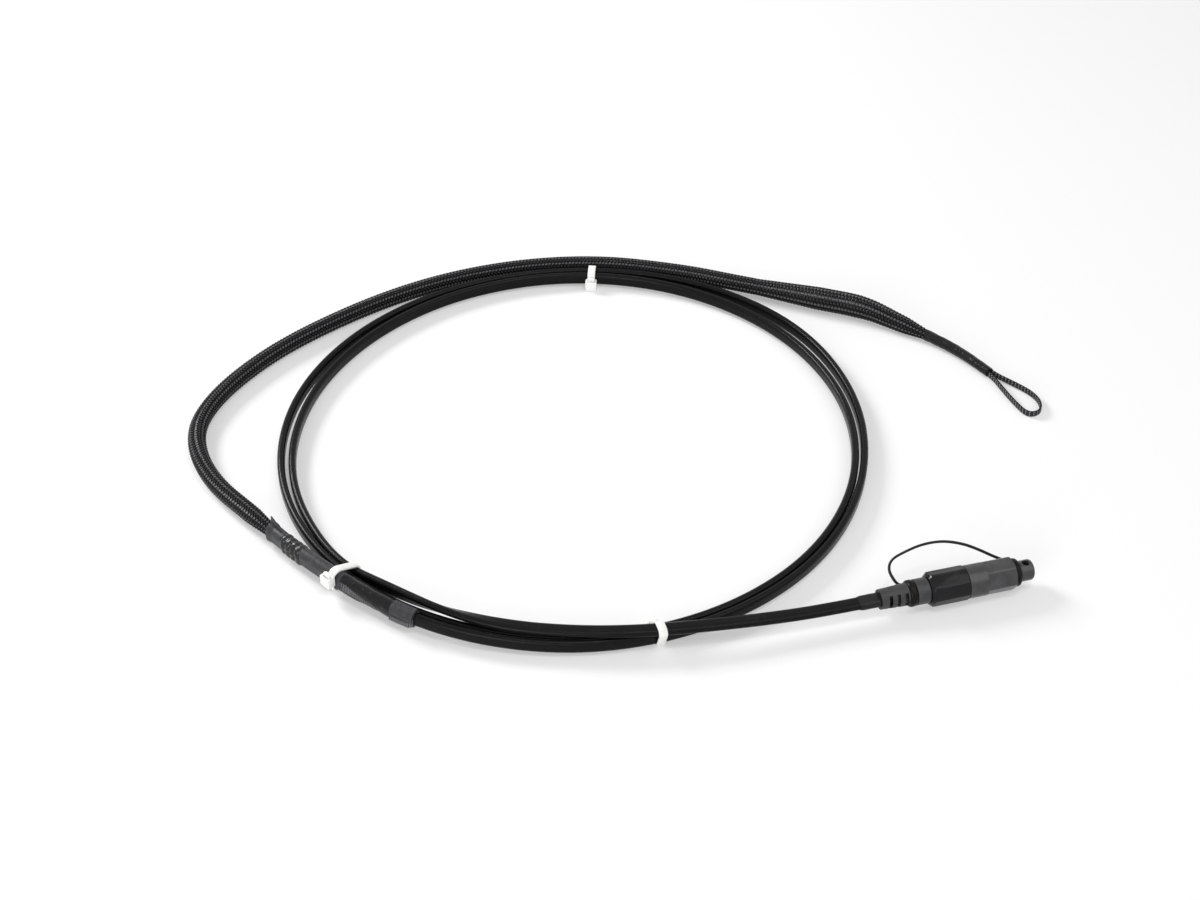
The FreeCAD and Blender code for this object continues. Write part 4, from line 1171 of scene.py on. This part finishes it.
class DROPCABLE_OT_nose(Operator):
    """Shrink sleeve on the sock's narrow end, and the pull loop"""
    bl_idname = "dropcable.nose"
    bl_label = "Nose sleeve and pull loop"

    def execute(self, context):
        sizes = context.scene.cable_sizes
        colours = context.scene.cable_colours
        ways = Ways()
        profile = [(0.0, NOSE_RADII[0]), (ways.nose.length, NOSE_RADII[1])]
        loop_halves = (sizes.loop_width / 2 - LOOP_INSET, sizes.loop_thickness / 2 - LOOP_INSET)

        def section(station, share):
            turn = 2 * math.pi * share
            radius = ramp_between(station, profile)
            radius += NOSE_CREASE * creased(station, share, NOSE_CREASE_LENGTH, NOSE_CREASE_TURNS)
            return radius * math.cos(turn), radius * math.sin(turn)

        def outline(station):
            return loop_halves

        stations = ways.nose.whole(NOSE_STEP)
        sleeve = swept("nose_shrink_sleeve", ways.nose, stations, section, NOSE_CORNERS)
        smooth(sleeve, degrees=35)
        finish = tape_finish("shiny_shrink", colours.shiny_tape)
        dress(sleeve, finish, "shrink_sleeve", "cable", "sock_nose_sleeve")
        loop = braided(
            "pull_loop_braid", ways.loop, outline, LOOP_STRANDS, LOOP_PITCH, LOOP_STRAND_STEPS,
            cover=LOOP_COVER, thickness=LOOP_STRAND_THICKNESS, lift=LOOP_STRAND_LIFT)
        smooth(loop, degrees=80)
        finish = strand_finish("loop_filament", lighter(colours.braid, LOOP_TONE), LOOP_FILAMENTS)
        dress(loop, finish, "loop_braid", "cable", "pull_loop")
        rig.cord(
            loop, exit=ways.loop.points[0], length=ways.loop.length, diameter=sizes.loop_width,
            far_end="object", stiffness="medium", lay="loose", path=ways.loop.points,
        )
        return {"FINISHED"}


class DROPCABLE_OT_tape(Operator):
    """Tape wound over the sock's mouth: patch, slanting wrap, sleeve, ridges and a free end"""
    bl_idname = "dropcable.tape"
    bl_label = "Tape"

    def execute(self, context):
        colours = context.scene.cable_colours
        halves = cable_halves(context.scene.cable_sizes)
        ways = Ways()
        # The braid seen below the tape, in the colour of its painted glints
        below = lighter(colours.braid, BRAID_GLINT_TONE)
        matte = tape_finish("matte_tape", colours.matte_tape)
        dark = lighter(colours.shiny_tape, RIDGED_TONE)
        wraps = {
            "tape_patch": (self.patch, tape_finish("patch_tape", colours.matte_tape, below)),
            "tape_diagonal": (self.slanting, tape_finish("slanting_tape", colours.shiny_tape, below)),
            "tape_sleeve": (self.sleeve, matte),
            "tape_ridged": (self.ridged, tape_finish("ridged_tape", dark)),
            "tape_flag": (self.flag, matte),
        }
        start = ways.mouth
        for node, (growth, finish) in wraps.items():
            length, height, crease, crease_length = TAPES[node]

            def section(station, share):
                place, out = flat_oval(*halves, share)
                lumps = creased(station - start, share, crease_length)
                reach = growth(station - start, share, height + crease * lumps, lumps)
                return place[0] + out[0] * reach, place[1] + out[1] * reach

            stations = ways.cable.stretch(start, start + length, TAPE_STEP)
            piece = swept(node + "_wrap", ways.cable, stations, section, TAPE_CORNERS)
            bare = piece.data.attributes.new("bare", "FLOAT", "POINT")
            bare.data.foreach_set("value", [
                self.bare(node, station - start, index / TAPE_CORNERS)
                for station in stations for index in range(TAPE_CORNERS)])
            if node == "tape_flag":
                joined(piece, self.standing_corner(ways.cable, start, halves[0] + CORNER_ROOT))
            smooth(piece, degrees=40)
            dress(piece, finish, "tape", "cable", node)
            start += length
        return {"FINISHED"}

    def bare(self, node, along, share):
        """How far the braid is left bare, below the patch or the slanting edge on the outer side."""
        if node == "tape_patch":
            edge = PATCH_EDGE
        elif node == "tape_diagonal":
            edge = ramp_between(along, SLANTING_EDGE)
        else:
            return 0.0
        above = (share - edge + 0.5) % 1.0 - 0.5
        return 1 - max(eased(above / EDGE_FADE), eased((BARE_DOWN_TO - above) / BOTTOM_FADE))

    def patch(self, along, share, skin, lumps):
        """Squared patch over the top and the outer side; the braid's cut end flares below it."""
        bare = self.bare("tape_patch", along, share)
        cover = skin + PATCH_CORNER * abs(math.sin(4 * math.pi * share))
        cut_end = CUT_END_HEIGHT - CUT_END_FALL * eased((CUT_END_LENGTH - along) / CUT_END_LENGTH)
        cut_end += CUT_END_FRAY * math.sin(along * CUT_END_FRAYS)
        return cover + bare * (cut_end - cover)

    def slanting(self, along, share, skin, lumps):
        """Tape above an edge that slants across the outer side; the braid shows below it."""
        bare = self.bare("tape_diagonal", along, share)
        hem = HEM_HEIGHT * bare * (1 - bare)
        return skin + bare * (ramp_between(along, BARE_HEIGHTS) - DIAGONAL_HEIGHT) + hem

    def sleeve(self, along, share, skin, lumps):
        return skin

    def ridged(self, along, share, skin, lumps):
        """Turns of twisted tape, lumpier on the outer side."""
        outer = (1 + math.cos(2 * math.pi * share)) / 2
        ridge = abs(math.sin(RIDGES * math.pi * along / RIDGED_LENGTH)) ** RIDGE_ROUNDING
        return skin + RIDGE_HEIGHT * ridge + outer * (OUTER_RIDGE_HEIGHT * ridge + OUTER_LUMPS * lumps)

    def flag(self, along, share, skin, lumps):
        """Free end, flared."""
        return skin + FLAG_FLARE * eased((along - FLAG_FLARE_FROM) / FLAG_FLARE_LENGTH)

    def standing_corner(self, path, start, base):
        """Three-cornered end of the tape that stands up from the wrap, a little curled."""
        vertices = []
        for row in range(CORNER_ROWS + 1):
            rise = CORNER_BLUNT * row / CORNER_ROWS
            for column in range(CORNER_ROWS + 1):
                along = CORNER_FROM + column / CORNER_ROWS * (CORNER_TO - CORNER_FROM)
                along += rise ** CORNER_SWEEP * (CORNER_TIP - along)
                point, heading, side, top = across_path(path, start + along)
                standing = top * (base + CORNER_HEIGHT * rise)
                vertices.append(point + standing + side * (CORNER_CURL * rise * rise))
        wide = CORNER_ROWS + 1
        faces = [
            (low, low + 1, low + wide + 1, low + wide)
            for row in range(CORNER_ROWS) for low in range(row * wide, row * wide + CORNER_ROWS)
        ]
        corner = new_piece("tape_corner", vertices, faces)
        thick = corner.modifiers.new("tape_thickness", "SOLIDIFY")
        thick.thickness = CORNER_THICKNESS
        thick.offset = 0.0
        apply_modifiers(corner)
        return corner


class DROPCABLE_OT_tether(Operator):
    """Strap that keeps the dust cap on the plug"""
    bl_idname = "dropcable.tether"
    bl_label = "Tether"

    def execute(self, context):
        sizes = context.scene.cable_sizes
        place = plug_matrix()
        points = []
        for along, away, lean in TETHER_ROUTE:
            turn = math.radians(lean)
            points.append(place @ Vector((along, away * math.sin(turn), away * math.cos(turn))))
        path = spline_path("tether_way", points, TETHER_RESOLUTION)
        side = Vector((0, math.cos(TETHER_LEAN), -math.sin(TETHER_LEAN)))
        across = (place.to_3x3() @ side).normalized()

        def strap_frame(path, station):
            point, heading = path.at(station)
            return point, heading, heading.cross(across).normalized(), across

        def section(station, share):
            return flat_oval(sizes.tether_width / 2, sizes.tether_thickness / 2, share)[0]

        piece = swept("cap_tether", path, path.whole(TETHER_STEP), section, TETHER_CORNERS, strap_frame)
        smooth(piece, degrees=50)
        finish = worn_finish("tether_rubber", context.scene.cable_colours.tether)
        dress(piece, finish, "tether_rubber", None, "tether_strap")
        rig.blend(
            piece, "cable", "cap_ring",
            place @ Vector((TETHER_FROM, 0, 0)), place @ Vector((TETHER_TO, 0, 0)))
        return {"FINISHED"}


class DROPCABLE_OT_plug(Operator):
    """Hardened plug: moulded pieces with eased edges, and the shrink sleeve behind them"""
    bl_idname = "dropcable.plug"
    bl_label = "Hardened plug"

    def execute(self, context):
        sizes = context.scene.cable_sizes
        colours = context.scene.cable_colours
        moulded = {
            # The boot and the shroud get painted shade deep in their slots
            "strain_relief_boot": (
                "boot_rubber", "cable", worn_finish("boot_rubber", colours.boot, SLOT_SHADE_RADIUS)),
            "plug_shroud": (
                "plug_body", "cable", worn_finish("shroud_plastic", colours.boot, SLOT_SHADE_RADIUS)),
            "coupling_nut": ("nut_plastic", "nut", worn_finish("nut_plastic", colours.nut)),
            "dust_cap": ("cap_plastic", "cap", worn_finish("cap_plastic", colours.cap)),
        }
        for node, (slot, body, finish) in moulded.items():
            piece = self.merged_copy(node)
            if node == "strain_relief_boot":
                self.cut(piece, BOOT_SLOT, [
                    Matrix.Translation((station, way * (BOOT_SLOT_FLOOR + BOOT_SLOT.y / 2), BOOT_SLOT_RISE))
                    for station in BOOT_SLOTS for way in (1, -1)])
            if node == "dust_cap":
                middle = Vector((CAP_FLAT_FROM + CAP_FLAT.x / 2, CAP_FLAT_REACH + CAP_FLAT.y / 2, 0))
                turns = [math.radians(CAP_FLAT_TURN + flat * 360 / CAP_FLATS) for flat in range(CAP_FLATS)]
                self.cut(piece, CAP_FLAT, [
                    Matrix.Rotation(turn, 4, "X") @ Matrix.Translation(middle) for turn in turns])
            if node == "coupling_nut":
                place = plug_matrix()
                piece.data.transform(place @ Matrix.Rotation(NUT_FLAT_TURN, 4, "X") @ place.inverted())
            ease_edges(piece, sizes.eased_edge, degrees=14)
            dress(piece, finish, slot, body, node)
        rubber = worn_finish("ring_rubber", colours.tether)
        rings = {"tether_boot_ring": ("cable", BOOT_RING), "tether_cap_ring": ("cap_ring", CAP_RING)}
        for node, (body, corners) in rings.items():
            ring = self.turned(node + "_moulded", corners)
            smooth(ring, degrees=50)
            dress(ring, rubber, "tether_rubber", body, node)
        self.shrink_sleeve(sizes, colours)
        return {"FINISHED"}

    def merged_copy(self, node):
        """The node's shape as one closed skin with whole faces."""
        piece = linked(node + "_moulded", frame["nodes"][node].data.copy())
        edit(piece, MERGED, (bpy.ops.mesh.dissolve_limited, {"angle_limit": FLAT_WITHIN}), FACED_OUT)
        return piece

    def cut(self, piece, size, places):
        """Cuts blocks of one size out of a piece, at places in the plug's own frame."""
        blocks = []
        for place in places:
            blocks.append(block("cutter", size))
            blocks[-1].data.transform(plug_matrix() @ place)
        cutters = joined(*blocks)
        difference = piece.modifiers.new("cut", "BOOLEAN")
        difference.operation = "DIFFERENCE"
        difference.object = cutters
        apply_modifiers(piece)
        bpy.data.objects.remove(cutters)

    def turned(self, name, corners):
        """Ring about the plug's axis from the corners of its section."""
        ring = vertex_ring(name, len(corners))
        for vertex, (station, radius) in zip(ring.data.vertices, corners):
            vertex.co = (station, 0.0, radius)
        whole_turn = {"steps": RING_STEPS, "angle": 2 * math.pi, "center": (0, 0, 0), "axis": (1, 0, 0)}
        edit(ring, (bpy.ops.mesh.spin, whole_turn), MERGED, FACED_OUT)
        ring.data.transform(plug_matrix())
        return ring

    def shrink_sleeve(self, sizes, colours):
        """Flattened sleeve, drawn in to the cable at its rear."""
        path = Path([plug_point(0.0), plug_point(SHRINK_LENGTH)])

        def section(station, share):
            full = SHRINK_REAR_SHARE + (1 - SHRINK_REAR_SHARE) * eased(station / SHRINK_DRAWN_IN)
            wall = SHRINK_WALL * full + SHRINK_CREASE * creased(station, share, SHRINK_CREASE_LENGTH)
            return rolled(flat_oval(*cable_halves(sizes, wall), share)[0], math.pi / 2)

        piece = swept("plug_shrink_sleeve", path, path.whole(TAPE_STEP), section, SHRINK_CORNERS)
        smooth(piece, degrees=40)
        finish = tape_finish("plug_shrink", colours.shiny_tape)
        dress(piece, finish, "shrink_sleeve", "cable", "cable_heat_shrink")


class DROPCABLE_OT_inside(Operator):
    """Finishes of the pieces inside the plug and the sock"""
    bl_idname = "dropcable.inside"
    bl_label = "Inner pieces"

    def execute(self, context):
        for name, nodes in INNER_PIECES.items():
            finish = metal_finish(name) if name in METALS else worn_finish(name, INNER_COLOURS[name])
            for node in nodes:
                paint(frame["nodes"][node], finish)
        return {"FINISHED"}


class DROPCABLE_OT_ties(Operator):
    """White cable ties drawn tight round the coil's strands"""
    bl_idname = "dropcable.ties"
    bl_label = "Cable ties"

    def execute(self, context):
        sizes = context.scene.cable_sizes
        ways = Ways()
        finish = nylon_finish(context.scene.cable_colours.nylon)
        for node, angle in TIE_ANGLES.items():
            out = Vector((math.cos(math.radians(angle)), math.sin(math.radians(angle)), 0))
            along = UP.cross(out)
            edges = self.held_edges(ways, sizes, frame["nodes"][node], out, along)
            strap = self.strap(node + "_strap", edges, out, along, sizes)
            joined(strap, *self.head(edges, out, along, sizes, node == "left_tie"))
            dress(strap, finish, "tie_nylon", "cable", node)
        return {"FINISHED"}

    def held_edges(self, ways, sizes, solid, out, along):
        """Reach, height and radius of each round edge of the strands that a tie holds."""
        reaches = [(vertex.co - COIL_CENTRE).dot(out) for vertex in solid.data.vertices]
        long_half, short_half = cable_halves(sizes)
        line = ways.cable
        offsets = [(point - COIL_CENTRE).dot(along) for point in line.points]
        edges = []
        for index, (before, after) in enumerate(zip(offsets, offsets[1:])):
            share = before / (before - after) if before != after else 2.0
            if not 0.0 <= share < 1.0:
                continue
            station = line.along[index] + share * (line.along[index + 1] - line.along[index])
            point, heading, side, top = across_path(line, station)
            if not min(reaches) < (point - COIL_CENTRE).dot(out) < max(reaches):
                continue
            radius = short_half + (TAPE_ON_TIE if station > ways.mouth else 0.0)
            edge = rolled((0.0, long_half - short_half), cable_roll(ways, station))
            for way in (1, -1):
                place = point + (side * edge[0] + top * edge[1]) * way
                edges.append(((place - COIL_CENTRE).dot(out), place.z, radius))
        return edges

    def strap(self, name, edges, out, along, sizes):
        """Band of the tie's width round the edges, with the straight runs that a tight strap has."""
        inner = []
        outer = []
        for corner in range(TIE_CORNERS):
            turn = 2 * math.pi * corner / TIE_CORNERS
            facing = (math.cos(turn), math.sin(turn))
            reach, height, radius = max(
                edges, key=lambda edge: edge[0] * facing[0] + edge[1] * facing[1] + edge[2])
            for outline, away in ((inner, radius + TIE_GAP), (outer, radius + TIE_GAP + sizes.tie_thickness)):
                place = out * (reach + facing[0] * away) + UP * (height + facing[1] * away)
                outline.append(COIL_CENTRE + place - along * (sizes.tie_width / 2))
        band = vertex_ring(name, TIE_CORNERS)
        edit(band, (bpy.ops.mesh.extrude_region_move, {}))
        vertices = band.data.vertices
        for edge in band.data.edges:
            low, high = sorted(edge.vertices)
            if low < TIE_CORNERS <= high:
                vertices[low].co = inner[low]
                vertices[high].co = outer[low]
        widened = {"TRANSFORM_OT_translate": {"value": along * sizes.tie_width}}
        edit(band, (bpy.ops.mesh.extrude_region_move, widened), FACED_OUT)
        ease_edges(band, sizes.eased_edge, degrees=40)
        return band

    def head(self, edges, out, along, sizes, outer_side):
        """Locking head with its slot on top, and the cut end of the strap that stands out of it."""
        way = 1 if outer_side else -1
        face = max(way * reach + radius for reach, height, radius in edges) + TIE_GAP
        if outer_side:
            top = max(height + radius for reach, height, radius in edges) + TIE_GAP
        else:
            low = min(height - radius for reach, height, radius in edges) - TIE_GAP - sizes.tie_thickness
            top = low + TIE_HEAD.z
        foot = COIL_CENTRE + out * (way * (face + TIE_HEAD.x / 2))
        lock = block("tie_head", TIE_HEAD)
        bpy.ops.object.mode_set(mode="EDIT")
        bpy.ops.mesh.select_all(action="DESELECT")
        bpy.ops.object.mode_set(mode="OBJECT")
        for polygon in lock.data.polygons:
            polygon.select = polygon.normal.z > 0.9
        bpy.ops.object.mode_set(mode="EDIT")
        bpy.ops.mesh.inset(thickness=TIE_HEAD_RIM)
        bpy.ops.mesh.extrude_region_move(TRANSFORM_OT_translate={"value": (0, 0, -TIE_HEAD_DEPTH)})
        bpy.ops.object.mode_set(mode="OBJECT")
        stub = block("tie_stub", Vector((sizes.tie_thickness, sizes.tie_width, TIE_HEAD_DEPTH + TIE_STUB)))
        turn = Matrix((out, along, UP)).transposed().to_4x4()
        for piece, height in ((lock, top - TIE_HEAD.z / 2), (stub, top + (TIE_STUB - TIE_HEAD_DEPTH) / 2)):
            ease_edges(piece, sizes.eased_edge, degrees=40)
            piece.data.transform(Matrix.Translation(foot + UP * height) @ turn)
        return lock, stub


class DROPCABLE_OT_stage(Operator):
    """Pale floor, soft studio light and the camera"""
    bl_idname = "dropcable.stage"
    bl_label = "Stage"

    def execute(self, context):
        scene = context.scene
        scene.view_settings.view_transform = "Standard"
        scene.world = world_finish()
        floor = added(
            "studio_floor", bpy.ops.mesh.primitive_plane_add, size=FLOOR_SIZE, location=(0, 0, -FLOOR_DROP))
        paint(floor, floor_finish(scene.cable_colours.floor))
        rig.stage(floor)
        for name, place, size, power in LAMPS:
            lamp = added(name, bpy.ops.object.light_add, type="AREA", location=place)
            lamp.rotation_euler = (-Vector(place)).to_track_quat("-Z", "Y").to_euler()
            lamp.data.size = size
            lamp.data.energy = power
            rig.stage(lamp)
        camera = added(
            "photo_camera", bpy.ops.object.camera_add, location=CAMERA_PLACE, rotation=(CAMERA_TILT, 0, 0))
        camera.data.lens = CAMERA_LENS
        camera.data.sensor_width = CAMERA_SENSOR
        camera.data.shift_x = CAMERA_SHIFT[0] / FRAME_WIDTH
        camera.data.shift_y = CAMERA_SHIFT[1] / FRAME_WIDTH
        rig.stage(camera)
        scene.camera = camera
        return {"FINISHED"}


class DROPCABLE_PT_pieces(Panel):
    """Lists the pieces and their sizes"""
    bl_idname = "DROPCABLE_PT_pieces"
    bl_label = "Drop cable assembly"
    bl_space_type = "VIEW_3D"
    bl_region_type = "UI"
    bl_category = "Drop cable"

    def draw(self, context):
        layout = self.layout
        for group in (context.scene.cable_sizes, context.scene.cable_colours):
            for name in group.__annotations__:
                layout.prop(group, name)
        for operator in OPERATORS:
            layout.operator(operator.bl_idname)


GROUPS = {"cable_sizes": CableSizes, "cable_colours": CableColours}
OPERATORS = (
    DROPCABLE_OT_cable, DROPCABLE_OT_sock, DROPCABLE_OT_nose, DROPCABLE_OT_tape, DROPCABLE_OT_ties,
    DROPCABLE_OT_tether, DROPCABLE_OT_plug, DROPCABLE_OT_inside, DROPCABLE_OT_stage,
)
CLASSES = (*GROUPS.values(), *OPERATORS, DROPCABLE_PT_pieces)


def register():
    for entry in CLASSES:
        bpy.utils.register_class(entry)
    for name, group in GROUPS.items():
        setattr(bpy.types.Scene, name, PointerProperty(type=group))


def unregister():
    for name in GROUPS:
        delattr(bpy.types.Scene, name)
    for entry in reversed(CLASSES):
        bpy.utils.unregister_class(entry)


def main():
    register()
    bpy.ops.dropcable.cable()
    bpy.ops.dropcable.sock()
    bpy.ops.dropcable.nose()
    bpy.ops.dropcable.tape()
    bpy.ops.dropcable.ties()
    bpy.ops.dropcable.tether()
    bpy.ops.dropcable.plug()
    bpy.ops.dropcable.inside()
    bpy.ops.dropcable.stage()
    with open("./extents.json", "w") as written:
        json.dump({"cad": CAD_BOX, "visual": [list(corner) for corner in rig.bounds()]}, written)


if __name__ == "__main__":
    main()
